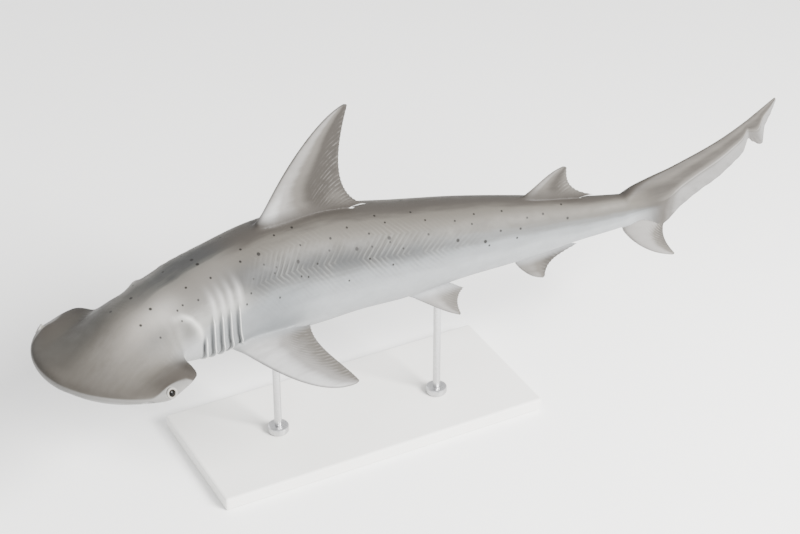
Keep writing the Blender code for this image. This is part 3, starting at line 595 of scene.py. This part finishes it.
def round_tube(name, points, radius, ring=False):
    curve = bpy.data.curves.new(name, "CURVE")
    curve.dimensions = "3D"
    curve.bevel_depth, curve.bevel_resolution, curve.use_fill_caps = radius, 4, not ring
    spline = curve.splines.new("POLY")
    spline.points.add(len(points) - 1)
    spline.use_cyclic_u = ring
    last = len(points) - 1
    for k, (place, point) in enumerate(zip(spline.points, points)):
        place.co = (*point, 1)
        place.radius = 1.0 if ring else max(step(0.0, TUBE_END, min(k, last - k) / last), TUBE_THIN)
    drawn = bpy.data.objects.new(name, curve)
    bpy.context.scene.collection.objects.link(drawn)
    bpy.context.view_layer.update()
    mesh = bpy.data.meshes.new_from_object(drawn.evaluated_get(bpy.context.evaluated_depsgraph_get()))
    bpy.data.objects.remove(drawn)
    shape = bmesh.new()
    shape.from_mesh(mesh)
    bmesh.ops.remove_doubles(shape, verts=shape.verts, dist=1e-6)
    bmesh.ops.recalc_face_normals(shape, faces=shape.faces)
    shape.to_mesh(mesh)
    shape.free()
    made = bpy.data.objects.new(name, mesh)
    bpy.context.scene.collection.objects.link(made)
    return made


def mouth_line(sink):
    points = []
    for k in range(MOUTH_PARTS + 1):
        across = 2 * k / MOUTH_PARTS - 1
        s = MOUTH_FRONT + (MOUTH_BACK - MOUTH_FRONT) * abs(across) ** MOUTH_POWER
        y = MOUTH_HALF * across
        points.append(posed(s, y, -skin_height(s, y, False) + sink / LENGTH))
    return points


def ball(name, middle, radius, size=(1, 1, 1), turn=0.0, parts=40):
    shape = bmesh.new()
    bmesh.ops.create_uvsphere(shape, u_segments=parts, v_segments=parts // 2, radius=radius)
    bmesh.ops.scale(shape, verts=shape.verts, vec=size)
    bmesh.ops.rotate(shape, verts=shape.verts, matrix=Matrix.Rotation(turn, 3, "Z"))
    bmesh.ops.translate(shape, verts=shape.verts, vec=middle)
    mesh = bpy.data.meshes.new(name)
    shape.to_mesh(mesh)
    shape.free()
    made = bpy.data.objects.new(name, mesh)
    bpy.context.scene.collection.objects.link(made)
    return made


def eye_facing(side):
    """The way an eye looks: out of the side of the head, turned forward and up."""
    forward, up = math.radians(EYE_FORWARD), math.radians(EYE_UP)
    ds, dy, dz = -math.cos(up) * math.sin(forward), side * math.cos(up) * math.cos(forward), math.sin(up)
    there = posed(EYE_S + ds * 0.001, side * EYE_Y + dy * 0.001, EYE_Z + dz * 0.001)
    return (there - posed(EYE_S, side * EYE_Y, EYE_Z)).normalized()


eye_out = {side: eye_facing(side) for side in (-1, 1)}
eye_middle = {side: posed(EYE_S, side * EYE_Y, EYE_Z) - eye_out[side] * EYE_SINK for side in (-1, 1)}

combine(skin, round_tube("lips", mouth_line(LIP_SINK), LIP_TUBE), "UNION")
for side in (-1, 1):
    middle = eye_middle[side] + eye_out[side] * LID_OUT
    level = eye_out[side].cross(Vector((0, 0, 1))).normalized()
    upright = level.cross(eye_out[side])
    turns = [k / LID_PARTS * math.pi for k in range(2 * LID_PARTS)]
    spokes = [level * math.cos(turn) + upright * math.sin(turn) for turn in turns]
    lid = round_tube("lid", [middle + spoke * LID_RADIUS for spoke in spokes], LID_TUBE, ring=True)
    combine(skin, lid, "UNION")
known_places = marked(skin, known_places, ((0.0016, 3),))
combine(skin, round_tube("mouth", mouth_line(-MOUTH_RISE), MOUTH_TUBE), "DIFFERENCE")
for side in (-1, 1):
    y = half_width(NOSTRIL_S) - NOSTRIL_INSET
    middle = posed(NOSTRIL_S, side * y, NOSTRIL_Z)
    on_rim = half_width(NOSTRIL_S + 0.001) - half_width(NOSTRIL_S)
    rim = posed(NOSTRIL_S + 0.001, side * (y + on_rim), NOSTRIL_Z) - middle
    combine(skin, ball("nostril", middle, 1.0, NOSTRIL_SIZE, math.atan2(rim.y, rim.x)), "DIFFERENCE")
    combine(skin, ball("socket", eye_middle[side], EYE_RADIUS + SOCKET_GAP), "DIFFERENCE")
known_places = marked(skin, known_places, ((0.0006, 1),))
skin.data.shade_smooth()
skin.data.set_sharp_from_angle(angle=SHARP)
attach(skin, "root")
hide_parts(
    "head", "gill_region", "trunk_front", "trunk_rear", "tail_stalk",
    "tail_upper_lobe", "tail_lower_lobe",
)
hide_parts("first_dorsal_fin", "second_dorsal_fin", "anal_fin")
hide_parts("pectoral_fin_left", "pectoral_fin_right", "pelvic_fin_left", "pelvic_fin_right")

# The skin's colours. The hide is matt, covered in scales too fine to see singly. It is brown-grey
# over the back, pale under the belly, with small dark spots, and the bands of muscle show
# through on the flanks as faint slanting strokes.


def tint(red, green, blue):
    """A colour from its screen values, 0 to 255, as the linear values that a shader takes."""
    linear = [((c / 255 + 0.055) / 1.055) ** 2.4 for c in (red, green, blue)]
    return (*linear, 1.0)


def add(tree, kind, inputs=(), **settings):
    """Adds a node and joins or sets its inputs, which are pairs of place and value."""
    made = tree.nodes.new(kind)
    for name, value in settings.items():
        setattr(made, name, value)
    for place, value in dict(inputs).items():
        if isinstance(value, bpy.types.NodeSocket):
            tree.links.new(value, made.inputs[place])
        else:
            made.inputs[place].default_value = value
    return made


def calc(tree, operation, *values, clamp=False):
    made = add(tree, "ShaderNodeMath", enumerate(values), operation=operation, use_clamp=clamp)
    return made.outputs[0]


def total(tree, first, *others):
    for other in others:
        first = calc(tree, "ADD", first, other)
    return first


def product(tree, first, *others):
    for other in others:
        first = calc(tree, "MULTIPLY", first, other)
    return first


def ease(tree, value, low, high, start=0.0, end=1.0):
    """Takes a value from start to end, smoothly, as it goes from low to high."""
    ends = {0: value, 1: low, 2: high, 3: start, 4: end}
    return add(tree, "ShaderNodeMapRange", ends, interpolation_type="SMOOTHSTEP").outputs[0]


def bell(tree, value, middle, reach):
    """1 at the middle and almost 0 at twice the reach."""
    away = calc(tree, "DIVIDE", calc(tree, "SUBTRACT", value, middle), reach)
    return calc(tree, "EXPONENT", product(tree, away, away, -1.0))


def mixed(tree, share, first, second):
    made = add(tree, "ShaderNodeMix", {0: share, 6: first, 7: second}, data_type="RGBA")
    return made.outputs[2]


def painted(tree, under, share, strength, colour):
    """Lays a colour over what is under it, where its share is high and as strongly as is said."""
    return mixed(tree, product(tree, share, strength), under, colour)


def graded(tree, value, stops):
    made = add(tree, "ShaderNodeValToRGB", {0: value})
    made.color_ramp.interpolation = "EASE"
    while len(made.color_ramp.elements) < len(stops):
        made.color_ramp.elements.new(0.5)
    for element, (place, colour) in zip(made.color_ramp.elements, stops):
        element.position = place
        element.color = colour
    return made.outputs[0]


def grain(tree, place, scale, detail=3.0, roughness=0.5, stretch=None):
    if stretch:
        place = add(tree, "ShaderNodeMapping", {0: place, 3: stretch}).outputs[0]
    settings = {"Vector": place, "Scale": scale, "Detail": detail, "Roughness": roughness}
    return add(tree, "ShaderNodeTexNoise", settings).outputs[0]


def swing(tree, *given, **settings):
    """Grain that swings to both sides of 0, mostly between -0.3 and 0.3."""
    return calc(tree, "SUBTRACT", grain(tree, *given, **settings), 0.5)


def carried(tree, name):
    """What the skin's points carry under a name: the whole, and its three parts."""
    whole = add(tree, "ShaderNodeAttribute", attribute_name=name).outputs["Vector"]
    return whole, add(tree, "ShaderNodeSeparateXYZ", {0: whole}).outputs


def measure(tree, operation, first, second):
    """A distance, or how far two directions agree."""
    made = add(tree, "ShaderNodeVectorMath", {0: first, 1: second}, operation=operation)
    return made.outputs["Value"]


def bumped(tree, height, strength, depth, over=None):
    """The normal of a fine relief, a depth in metres, over that of another relief."""
    inputs = {"Strength": strength, "Distance": depth, "Height": height}
    if over is not None:
        inputs["Normal"] = over
    return add(tree, "ShaderNodeBump", inputs).outputs[0]


def new_group(name, inputs, outputs):
    tree = bpy.data.node_groups.new(name, "ShaderNodeTree")
    for socket, kind, value in inputs:
        made = tree.interface.new_socket(name=socket, in_out="INPUT", socket_type=kind)
        made.default_value = value
    for socket, kind in outputs:
        tree.interface.new_socket(name=socket, in_out="OUTPUT", socket_type=kind)
    return tree, tree.nodes.new("NodeGroupInput"), tree.nodes.new("NodeGroupOutput")


def plain_material(name, roughness, metallic=0.0):
    made = bpy.data.materials.new(name)
    made.use_nodes = True
    shader = made.node_tree.nodes["Principled BSDF"]
    shader.inputs["Roughness"].default_value = roughness
    shader.inputs["Metallic"].default_value = metallic
    return made, made.node_tree, shader


# What the points carry: their place on the straight shark, the share of the fin in them with its
# ray and how far out they are, and the tones. On the body these are the neck's fold, the swelling
# over the gills and the slits, and on a fin its dusk, its dark rim and its white lip, a painted
# highlight.
hide, tree, shader = plain_material("shark_hide", 0.5)
place = add(tree, "ShaderNodeTexCoord").outputs["Object"]
straight, (s, y, z) = carried(tree, "straight")
_, (fin_share, ray, out) = carried(tree, "fin")
_, (fold_or_dusk, swelling_or_rim, slit_or_lip_highlight) = carried(tree, "tone")
across = calc(tree, "ABSOLUTE", y)
angle = product(tree, calc(tree, "ARCTAN2", z, across), 180 / math.pi)
cloud = swing(tree, place, 14.0, 4.0)
blotch = swing(tree, place, 60.0, 4.0, 0.6)
drawn_out = swing(tree, straight, 1.0, 4.0, 0.6, stretch=(16.0, 110.0, 110.0))
uneven = total(tree, cloud, drawn_out)

# The trunk, from the white belly by a blue-grey line low on the flank and a warm flank to the
# back. The dark stripe of the back leans over to the right flank at the front: painted shade on
# the side away from the light.
CLOUD_DEGREES, STREAK_DEGREES = 12.0, 22.0
TRUNK_TONES = [
    (0.0, tint(136, 138, 140)), (0.33, tint(130, 133, 135)), (0.54, tint(113, 116, 118)),
    (0.69, tint(86, 87, 87)), (0.80, tint(77, 75, 71)), (0.88, tint(80, 77, 72)),
    (0.945, tint(76, 73, 68)), (1.0, tint(53, 50, 47)),
]
FRONT_TONES = [
    (0.0, tint(136, 138, 138)), (0.36, tint(132, 133, 134)), (0.56, tint(116, 116, 113)),
    (0.72, tint(86, 84, 81)), (0.90, tint(86, 83, 79)), (0.955, tint(82, 80, 76)),
    (0.985, tint(59, 59, 57)), (1.0, tint(47, 47, 47)),
]
shift = total(tree, product(tree, cloud, CLOUD_DEGREES), product(tree, drawn_out, STREAK_DEGREES))
high = total(tree, angle, shift)
trunk = graded(tree, ease(tree, high, -90.0, 90.0), TRUNK_TONES)
# Painted shade: at the front the back's dark tones are shifted onto the right flank.
aside = total(tree, y, ease(tree, s, 0.17, 0.24, 0.0, 0.008))
shade_lean = ease(tree, aside, -0.012, 0.024, -17.0, 10.0)
front_trunk = graded(tree, ease(tree, total(tree, high, shade_lean), -90.0, 90.0), FRONT_TONES)
trunk = mixed(tree, ease(tree, s, 0.215, 0.275), front_trunk, trunk)

# The hammer: grey-brown on top, darker out on its lobes and along its rim, and pale below the
# rim and round the eyes. Its top ends lower at the rear corners and higher by the eyes. Light and
# shade are painted on it too: a highlight left of its middle, and shade over its right half and
# at its rear corners.
TOP_EDGE, EDGE_BY_EYE, EDGE_BY_CORNER = 0.0026, 0.0098, 0.0080
by_eye = product(tree, bell(tree, s, EYE_S, 0.024), ease(tree, across, 0.080, 0.093))
by_corner = product(tree, ease(tree, s, 0.092, 0.110), ease(tree, across, 0.060, 0.075))
edge_high = total(tree, product(tree, by_eye, EDGE_BY_EYE), TOP_EDGE)
edge_high = calc(tree, "SUBTRACT", edge_high, product(tree, by_corner, EDGE_BY_CORNER))
over_edge = calc(tree, "SUBTRACT", z, edge_high)
hammer_top = mixed(tree, ease(tree, uneven, -0.3, 0.3), tint(76, 73, 68), tint(85, 82, 78))
# Painted highlight: paler left of the midline, on the side the light falls on.
inner_highlight = product(tree, bell(tree, y, -0.022, 0.017), ease(tree, s, 0.035, 0.105))
hammer_top = painted(tree, hammer_top, inner_highlight, 0.80, tint(122, 118, 113))
# Painted shade: darker over the right half, away from the light.
far_half_shade = product(tree, ease(tree, y, -0.004, 0.028), ease(tree, s, 0.004, 0.022))
hammer_top = painted(tree, hammer_top, far_half_shade, 0.92, tint(53, 51, 47))
lobes = product(tree, ease(tree, across, 0.060, 0.084), ease(tree, s, 0.030, 0.065))
hammer_top = painted(tree, hammer_top, lobes, 0.62, tint(50, 46, 43))
hammer_top = painted(tree, hammer_top, ease(tree, s, 0.050, 0.012), 0.40, tint(58, 55, 51))
brink = bell(tree, over_edge, 0.0030, 0.0042)
brink_strength = total(tree, product(tree, by_eye, 0.35), 0.42)
hammer_top = painted(tree, hammer_top, brink, brink_strength, tint(46, 42, 38))
under_rim = mixed(tree, ease(tree, z, 0.000, -0.006), tint(106, 105, 103), tint(138, 138, 137))
hammer = mixed(tree, ease(tree, over_edge, -0.0010, 0.0016), under_rim, hammer_top)
# Painted shade: darker at the rear corners of the top.
corner_shade = product(tree, by_corner, ease(tree, over_edge, 0.0, 0.0030))
hammer = painted(tree, hammer, corner_shade, 0.6, tint(32, 29, 26))

# From the neck to the gills: a painted highlight on the cheeks, strongest on the left, painted
# shade in the hollow behind the hammer and low on the side, a dark patch behind the gills, and
# painted highlights on the fold and the swellings.
nape = ease(tree, total(tree, s, product(tree, cloud, 0.02)), 0.085, 0.165)
body = mixed(tree, product(tree, nape, ease(tree, across, 0.080, 0.062)), hammer, trunk)
cheek_highlight = total(tree, bell(tree, y, -0.029, 0.016), product(tree, bell(tree, y, 0.036, 0.010), 0.2))
body = painted(tree, body, product(tree, bell(tree, s, 0.128, 0.028), cheek_highlight), 0.75, tint(134, 132, 128))
hollow = product(tree, bell(tree, s, 0.150, 0.014), bell(tree, angle, 22.0, 13.0))
before_neck = product(tree, bell(tree, s, 0.106, 0.030), bell(tree, angle, 33.0, 14.0), 0.85)
hollow = calc(tree, "MAXIMUM", hollow, before_neck)
body = painted(tree, body, hollow, 0.70, tint(73, 72, 70))
low_side = product(tree, ease(tree, s, 0.160, 0.185), ease(tree, s, 0.370, 0.280))
low_side = product(tree, low_side, ease(tree, angle, 26.0, 4.0), ease(tree, angle, -55.0, -25.0))
body = painted(tree, body, low_side, 0.60, tint(82, 86, 89))
behind_gills = product(tree, bell(tree, s, 0.245, 0.040), bell(tree, angle, 45.0, 15.0))
body = painted(tree, body, behind_gills, 0.85, tint(50, 50, 49))
by_gills = ease(tree, s, 0.262, 0.245)
# Painted highlights on the neck's fold and on the swellings over the gills.
body = painted(tree, body, product(tree, fold_or_dusk, by_gills), 0.55, tint(190, 189, 185))
body = painted(tree, body, product(tree, swelling_or_rim, by_gills), 0.40, tint(180, 179, 178))

# The line of the mouth is painted dark, as shade deep between the lips.
mouth_curve = calc(tree, "POWER", calc(tree, "DIVIDE", across, MOUTH_HALF), MOUTH_POWER)
mouth_at = total(tree, product(tree, mouth_curve, MOUTH_BACK - MOUTH_FRONT), MOUTH_FRONT)
mouth_shade = bell(tree, calc(tree, "SUBTRACT", s, mouth_at), 0.0, 0.0015)
between_ends = ease(tree, across, MOUTH_HALF * 1.02, MOUTH_HALF * 0.92)
mouth_shade = product(tree, mouth_shade, between_ends, ease(tree, z, 0.0, -0.004))
body = painted(tree, body, mouth_shade, 0.85, tint(38, 33, 30))

# Strokes of muscle, which slant back from a middle line to both sides and forward again high up.
# They are strongest near the line, along which a dark band of painted shade runs.
STROKES_IN_LENGTH = 128
SLANT, HIGH_SLANT, HIGH_ZONE = 0.00095, -0.0019, 25.0
wander = swing(tree, place, 24.0, 3.0)
middle_line = ease(tree, s, 0.26, 0.58, 33.0, 15.0)
wandering = total(tree, angle, product(tree, wander, 4.0))
from_line = calc(tree, "SUBTRACT", wandering, middle_line)
high_part = calc(tree, "MAXIMUM", calc(tree, "SUBTRACT", from_line, HIGH_ZONE), 0.0)
slant = product(tree, calc(tree, "ABSOLUTE", from_line), SLANT)
slant = total(tree, slant, product(tree, high_part, HIGH_SLANT))
shaken = total(tree, product(tree, blotch, 0.0024), product(tree, wander, 0.006))
stroke_at = total(tree, calc(tree, "SUBTRACT", s, slant), shaken)
stroke = calc(tree, "SINE", product(tree, stroke_at, 2 * math.pi * STROKES_IN_LENGTH))
reach = product(tree, ease(tree, s, 0.235, 0.285), ease(tree, s, 0.600, 0.470))
reach = product(tree, reach, ease(tree, angle, -22.0, 2.0), ease(tree, angle, 76.0, 50.0))
patchy = ease(tree, grain(tree, place, 30.0, 3.0, 0.6), 0.38, 0.62, 0.15, 1.0)
near_line = total(tree, product(tree, bell(tree, from_line, 2.0, 19.0), 0.78), 0.22)
reach = product(tree, reach, near_line, patchy)
# Painted shade: a dark blue-grey band along the middle line of the flank.
on_line = product(tree, ease(tree, s, 0.225, 0.265), ease(tree, s, 0.62, 0.42))
on_line = product(tree, on_line, bell(tree, from_line, 3.0, 15.0))
body = painted(tree, body, on_line, 0.82, tint(42, 44, 46))
body = painted(tree, body, ease(tree, stroke, -0.3, 1.0, 0.0, 0.34), reach, tint(68, 66, 62))
body = painted(tree, body, ease(tree, stroke, 0.3, -1.0, 0.0, 0.20), reach, tint(138, 137, 132))

# The gill slits: painted shade in each groove, darkest low down, before a painted highlight on its raised
# edge.
groove_shade = ease(tree, slit_or_lip_highlight, -0.02, -0.9, 0.0, 0.85)
body = painted(tree, body, groove_shade, ease(tree, angle, 34.0, -12.0, 0.25, 1.0), tint(53, 55, 56))
# Painted highlight on the raised edge of each slit.
body = mixed(tree, ease(tree, slit_or_lip_highlight, 0.15, 0.9, 0.0, 0.85), body, tint(197, 197, 195))

# The lids are pale rings round the eyes.
LID_PALE = (0.0090, 0.0070)
by_lid = 0.0
for side in (-1, 1):
    away = measure(tree, "DISTANCE", place, tuple(eye_middle[side] + eye_out[side] * LID_OUT))
    by_lid = calc(tree, "MAXIMUM", by_lid, ease(tree, away, *LID_PALE))
body = painted(tree, body, by_lid, 0.7, tint(140, 138, 134))

# The fins: each has its own dusk, a dark rim in front, and fine rays that show near its rear
# edge. A white lip of painted highlight shows under the free rear tip of both dorsal fins.
FIN_TONES = [
    (0.0, tint(158, 158, 158)), (0.3, tint(114, 112, 110)), (0.6, tint(80, 77, 73)), (1.0, tint(48, 45, 42)),
]
fin_dusk = calc(tree, "ADD", fold_or_dusk, product(tree, uneven, 0.22), clamp=True)
fins_colour = graded(tree, fin_dusk, FIN_TONES)
ray_at = total(tree, ray, product(tree, wander, 0.5))
streak = calc(tree, "COSINE", product(tree, ray_at, 2 * math.pi))
broken = ease(tree, grain(tree, place, 90.0, 3.0, 0.6), 0.40, 0.62, 0.10, 1.0)
near_edge = product(tree, ease(tree, out, 0.50, 0.92), fin_share, broken)
pale_streak = ease(tree, streak, 0.0, 1.0, 0.0, 0.17)
dark_streak = ease(tree, streak, 0.0, -1.0, 0.0, 0.15)
fins_colour = painted(tree, fins_colour, near_edge, pale_streak, tint(150, 148, 145))
fins_colour = painted(tree, fins_colour, near_edge, dark_streak, tint(62, 59, 55))
fins_colour = painted(tree, fins_colour, swelling_or_rim, 0.6, tint(52, 49, 46))
# Painted highlight: the white lip under each dorsal fin's free rear tip.
fins_colour = painted(tree, fins_colour, slit_or_lip_highlight, 0.9, tint(205, 205, 203))
colour = mixed(tree, fin_share, body, fins_colour)
colour = mixed(tree, ease(tree, blotch, -0.2, 0.2, 0.0, 0.08), colour, tint(56, 53, 49))

# Spots along each flank: how far back, how high on the side in degrees, and how wide in mm before
# they are made larger. Every spot is on both flanks, a little out of place on the right one.
SPOTS = [
    (0.100, 63, 2.4), (0.108, 35, 2.0), (0.124, 73, 2.8), (0.147, 37, 2.0), (0.149, 50, 2.0),
    (0.159, 52, 2.0), (0.176, 68, 2.2), (0.179, 48, 2.0), (0.207, 62, 2.2), (0.207, 85, 3.0),
    (0.236, 18, 2.0), (0.246, 27, 2.0), (0.251, 62, 2.4), (0.256, 40, 2.0), (0.261, 74, 2.2),
    (0.277, 49, 2.0), (0.277, 61, 3.4), (0.287, 9, 2.0), (0.287, 37, 2.0), (0.292, 42, 2.0),
    (0.308, 73, 2.0), (0.324, 24, 2.0), (0.324, 40, 3.4), (0.334, 21, 2.0), (0.334, 55, 2.0),
    (0.334, 75, 2.4), (0.350, 32, 2.2), (0.370, 42, 2.2), (0.376, 54, 2.4), (0.391, 3, 2.0),
    (0.402, 62, 2.2), (0.407, 37, 3.4), (0.422, 23, 2.2), (0.428, 36, 2.0), (0.428, 51, 2.2),
    (0.443, 73, 2.2), (0.453, 10, 2.0), (0.453, 37, 2.0), (0.453, 42, 3.4), (0.453, 62, 2.0),
    (0.469, 27, 2.0), (0.490, 74, 2.0), (0.505, 39, 2.2), (0.505, 59, 2.0), (0.542, 25, 3.2),
    (0.542, 53, 2.0), (0.563, 46, 2.0), (0.568, 61, 2.0), (0.578, 16, 3.2), (0.583, 8, 2.0),
    (0.599, 30, 2.2), (0.604, 63, 2.0), (0.620, 12, 2.0), (0.625, 29, 2.2), (0.635, 48, 2.0),
    (0.656, 53, 2.2), (0.682, 72, 2.0), (0.687, 39, 2.4),
]
SPREAD_BACK, SPREAD_HIGH = 0.004, 3.0
SPOT_GROWTH = 1.8
FARTHEST, HALVINGS = 0.12, 24

spot_group, given, made = new_group(
    "spot",
    [
        ("Place", "NodeSocketVector", (0, 0, 0)),
        ("Middle", "NodeSocketVector", (0, 0, 0)),
        ("Size", "NodeSocketFloat", 0.002),
    ],
    [("Mask", "NodeSocketFloat")],
)
away = measure(spot_group, "DISTANCE", given.outputs[0], given.outputs[1])
share = calc(spot_group, "DIVIDE", away, given.outputs[2])
spot_group.links.new(ease(spot_group, share, 0.55, 1.05, 1.0, 0.0), made.inputs[0])


def on_skin(back, high):
    """How far from the line the skin is, this far back and this many degrees up the side."""
    across, up = math.cos(math.radians(high)), math.sin(math.radians(high))
    near, far = 0.0, FARTHEST
    for _ in range(HALVINGS):
        reached = (near + far) / 2
        within = reached * across < half_width(back)
        inside = within and reached * up < skin_height(back, reached * across, True)
        near, far = (reached, far) if inside else (near, reached)
    return near * across, near * up


random.seed(7)
ragged = {0: grain(tree, place, 700.0, 1.0), 1: (0.0004, 0.0004, 0.0004)}
ragged = add(tree, "ShaderNodeVectorMath", ragged, operation="MULTIPLY").outputs[0]
spot_place = add(tree, "ShaderNodeVectorMath", {0: straight, 1: ragged}, operation="ADD").outputs[0]
spots = 0.0
for side in (-1, 1):
    for spot_back, spot_high, spot_size in SPOTS:
        if side == 1:
            spot_back += random.uniform(-1, 1) * SPREAD_BACK
            spot_high += random.uniform(-1, 1) * SPREAD_HIGH
        beside_line, over_line = on_skin(spot_back, spot_high)
        spot = add(tree, "ShaderNodeGroup", (), node_tree=spot_group)
        tree.links.new(spot_place, spot.inputs["Place"])
        spot.inputs["Middle"].default_value = (spot_back, side * beside_line, over_line)
        spot.inputs["Size"].default_value = spot_size * SPOT_GROWTH / 2000 / LENGTH
        spots = calc(tree, "MAXIMUM", spots, spot.outputs["Mask"])
colour = painted(tree, colour, spots, 0.9, tint(16, 14, 12))

# The finish of the hide, and its relief: scales, strokes of muscle and the fins' rays.
tree.links.new(colour, shader.inputs["Base Color"])
tree.links.new(ease(tree, blotch, -0.3, 0.3, 0.42, 0.58), shader.inputs["Roughness"])
shader.inputs["Specular IOR Level"].default_value = 0.16
scales = add(tree, "ShaderNodeTexVoronoi", {"Vector": place, "Scale": 1500.0}).outputs["Distance"]
relief = bumped(tree, scales, 0.35, 0.00012)
relief = bumped(tree, product(tree, reach, stroke), 0.4, 0.0005, relief)
relief = bumped(tree, product(tree, near_edge, streak), 0.3, 0.0003, relief)
tree.links.new(relief, shader.inputs["Normal"])
skin.data.materials.clear()
skin.data.materials.append(hide)

# The eyes, one in each end of the hammer: glossy balls with a black pupil in a dark brown iris.
EYE_PARTS = 64
EYE_NEAR = 0.03
IRIS_TONES = [
    (0.55, tint(120, 116, 108)), (0.64, tint(40, 36, 30)), (0.76, tint(70, 60, 44)),
    (0.84, tint(34, 29, 23)), (0.87, tint(5, 5, 5)),
]
eye_look, tree, shader = plain_material("eye_gloss", 0.08)
place = add(tree, "ShaderNodeTexCoord").outputs["Object"]
sideways = 0.0
for side in (-1, 1):
    middle = tuple(eye_middle[side])
    toward = add(tree, "ShaderNodeVectorMath", {0: place, 1: middle}, operation="SUBTRACT").outputs[0]
    toward = measure(tree, "DOT_PRODUCT", toward, tuple(eye_out[side] / EYE_RADIUS))
    this_eye = calc(tree, "LESS_THAN", measure(tree, "DISTANCE", place, middle), EYE_NEAR)
    sideways = total(tree, product(tree, toward, this_eye), sideways)
speckle = product(tree, swing(tree, place, 900.0, 3.0), 0.05)
tree.links.new(graded(tree, total(tree, sideways, speckle), IRIS_TONES), shader.inputs["Base Color"])
tree.links.new(ease(tree, speckle, -0.02, 0.02, 0.20, 0.30), shader.inputs["Roughness"])
shader.inputs["Specular IOR Level"].default_value = 0.12
for side, name in ((-1, "left"), (1, "right")):
    eye = ball("eyeball_" + name, eye_middle[side], EYE_RADIUS, parts=EYE_PARTS)
    eye.data.materials.append(eye_look)
    eye.data.shade_smooth()
    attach(eye, "root")
    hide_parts("eye_" + name)

# The stand. The base is a board with eased edges under a satin paint, laid on with a fine
# roller. Two rods of brushed steel stand in collars screwed to it and end in saddles under the
# belly.
board_paint, tree, shader = plain_material("board_paint", 0.42)
place = add(tree, "ShaderNodeTexCoord").outputs["Object"]
stipple = grain(tree, place, 900.0, 2.0, 0.6)
drift = grain(tree, place, 9.0, 3.0)
paint = mixed(tree, ease(tree, drift, 0.3, 0.7), tint(224, 223, 219), tint(228, 227, 224))
paint = mixed(tree, ease(tree, stipple, 0.35, 0.65, 0.0, 0.3), paint, tint(214, 213, 209))
tree.links.new(paint, shader.inputs["Base Color"])
tree.links.new(ease(tree, drift, 0.25, 0.75, 0.36, 0.50), shader.inputs["Roughness"])
tree.links.new(bumped(tree, stipple, 0.25, 0.0002), shader.inputs["Normal"])

brushed_steel, tree, shader = plain_material("stand_brushed_steel", 0.3, 1.0)
place = add(tree, "ShaderNodeTexCoord").outputs["Object"]
brushing = grain(tree, place, 300.0, 4.0, 0.7, stretch=(1.0, 1.0, 12.0))
smudge = grain(tree, place, 40.0, 3.0)
steel = mixed(tree, ease(tree, brushing, 0.3, 0.7), tint(176, 176, 178), tint(204, 204, 205))
dullness = total(tree, product(tree, brushing, 0.6), product(tree, smudge, 0.4))
tree.links.new(steel, shader.inputs["Base Color"])
tree.links.new(ease(tree, dullness, 0.3, 0.7, 0.22, 0.42), shader.inputs["Roughness"])
tree.links.new(bumped(tree, brushing, 0.15, 0.0001), shader.inputs["Normal"])
for name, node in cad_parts.items():
    if name.startswith("stand_"):
        look = board_paint if name == "stand_base" else brushed_steel
        for slot in node.material_slots:
            slot.material = look

# The floor and the light: a wide pale floor, a large soft lamp over the camera's right, a weak
# fill from its left, a weak lamp behind, and a pale room round them.
FLOOR_HALF = 12.0
LAMPS_AIM = (0, 0, 0.25)
floor_shape = bmesh.new()
bmesh.ops.create_grid(floor_shape, x_segments=1, y_segments=1, size=FLOOR_HALF)
floor_mesh = bpy.data.meshes.new("studio_floor")
floor_shape.to_mesh(floor_mesh)
floor_shape.free()
floor = bpy.data.objects.new("studio_floor", floor_mesh)
bpy.context.scene.collection.objects.link(floor)
floor_paint, tree, shader = plain_material("floor_paint", 0.8)
place = add(tree, "ShaderNodeTexCoord").outputs["Object"]
floor_colour = mixed(tree, grain(tree, place, 3.0, 4.0), tint(243, 243, 242), tint(247, 247, 246))
tree.links.new(floor_colour, shader.inputs["Base Color"])
floor_mesh.materials.append(floor_paint)


def soft_lamp(name, where, width, power, colour):
    light = bpy.data.lights.new(name, "AREA")
    light.shape, light.size, light.energy, light.color = "SQUARE", width, power, colour
    lamp = bpy.data.objects.new(name, light)
    bpy.context.scene.collection.objects.link(lamp)
    lamp.location = where
    lamp.rotation_euler = (Vector(LAMPS_AIM) - Vector(where)).to_track_quat("-Z", "Y").to_euler()


soft_lamp("key_lamp", (0.95, -2.1, 1.85), 1.3, 375.0, (1.0, 0.99, 0.97))
soft_lamp("fill_lamp", (-1.8, -1.4, 1.0), 1.8, 12.0, (0.96, 0.98, 1.0))
soft_lamp("back_lamp", (-0.9, 2.2, 1.7), 1.2, 14.0, (1.0, 1.0, 1.0))
world = bpy.data.worlds.new("pale_room")
world.use_nodes = True
background = world.node_tree.nodes["Background"]
background.inputs["Color"].default_value = (1.0, 1.0, 1.0, 1.0)
background.inputs["Strength"].default_value = 1.25
bpy.context.scene.world = world

# The camera, at the picture's angle: from before the left flank and well above it.
AZIMUTH, ELEVATION, DISTANCE, LENS = -27.67, 32.72, 2.546, 90.65
SENSOR, FAR_END = 36.0, 100.0
AIM_FROM_MIDDLE = Vector((0.0709, -0.0372, -0.0165))
azimuth, elevation = math.radians(AZIMUTH), math.radians(ELEVATION)
aim = posed(MIDDLE, 0, 0) + AIM_FROM_MIDDLE
level = math.cos(elevation)
back = Vector((math.sin(azimuth) * level, -math.cos(azimuth) * level, math.sin(elevation)))
camera = bpy.data.objects.new("camera", bpy.data.cameras.new("camera"))
bpy.context.scene.collection.objects.link(camera)
camera.data.lens, camera.data.sensor_width, camera.data.clip_end = LENS, SENSOR, FAR_END
camera.location = aim + back * DISTANCE
camera.rotation_euler = back.to_track_quat("Z", "Y").to_euler()
bpy.context.scene.camera = camera
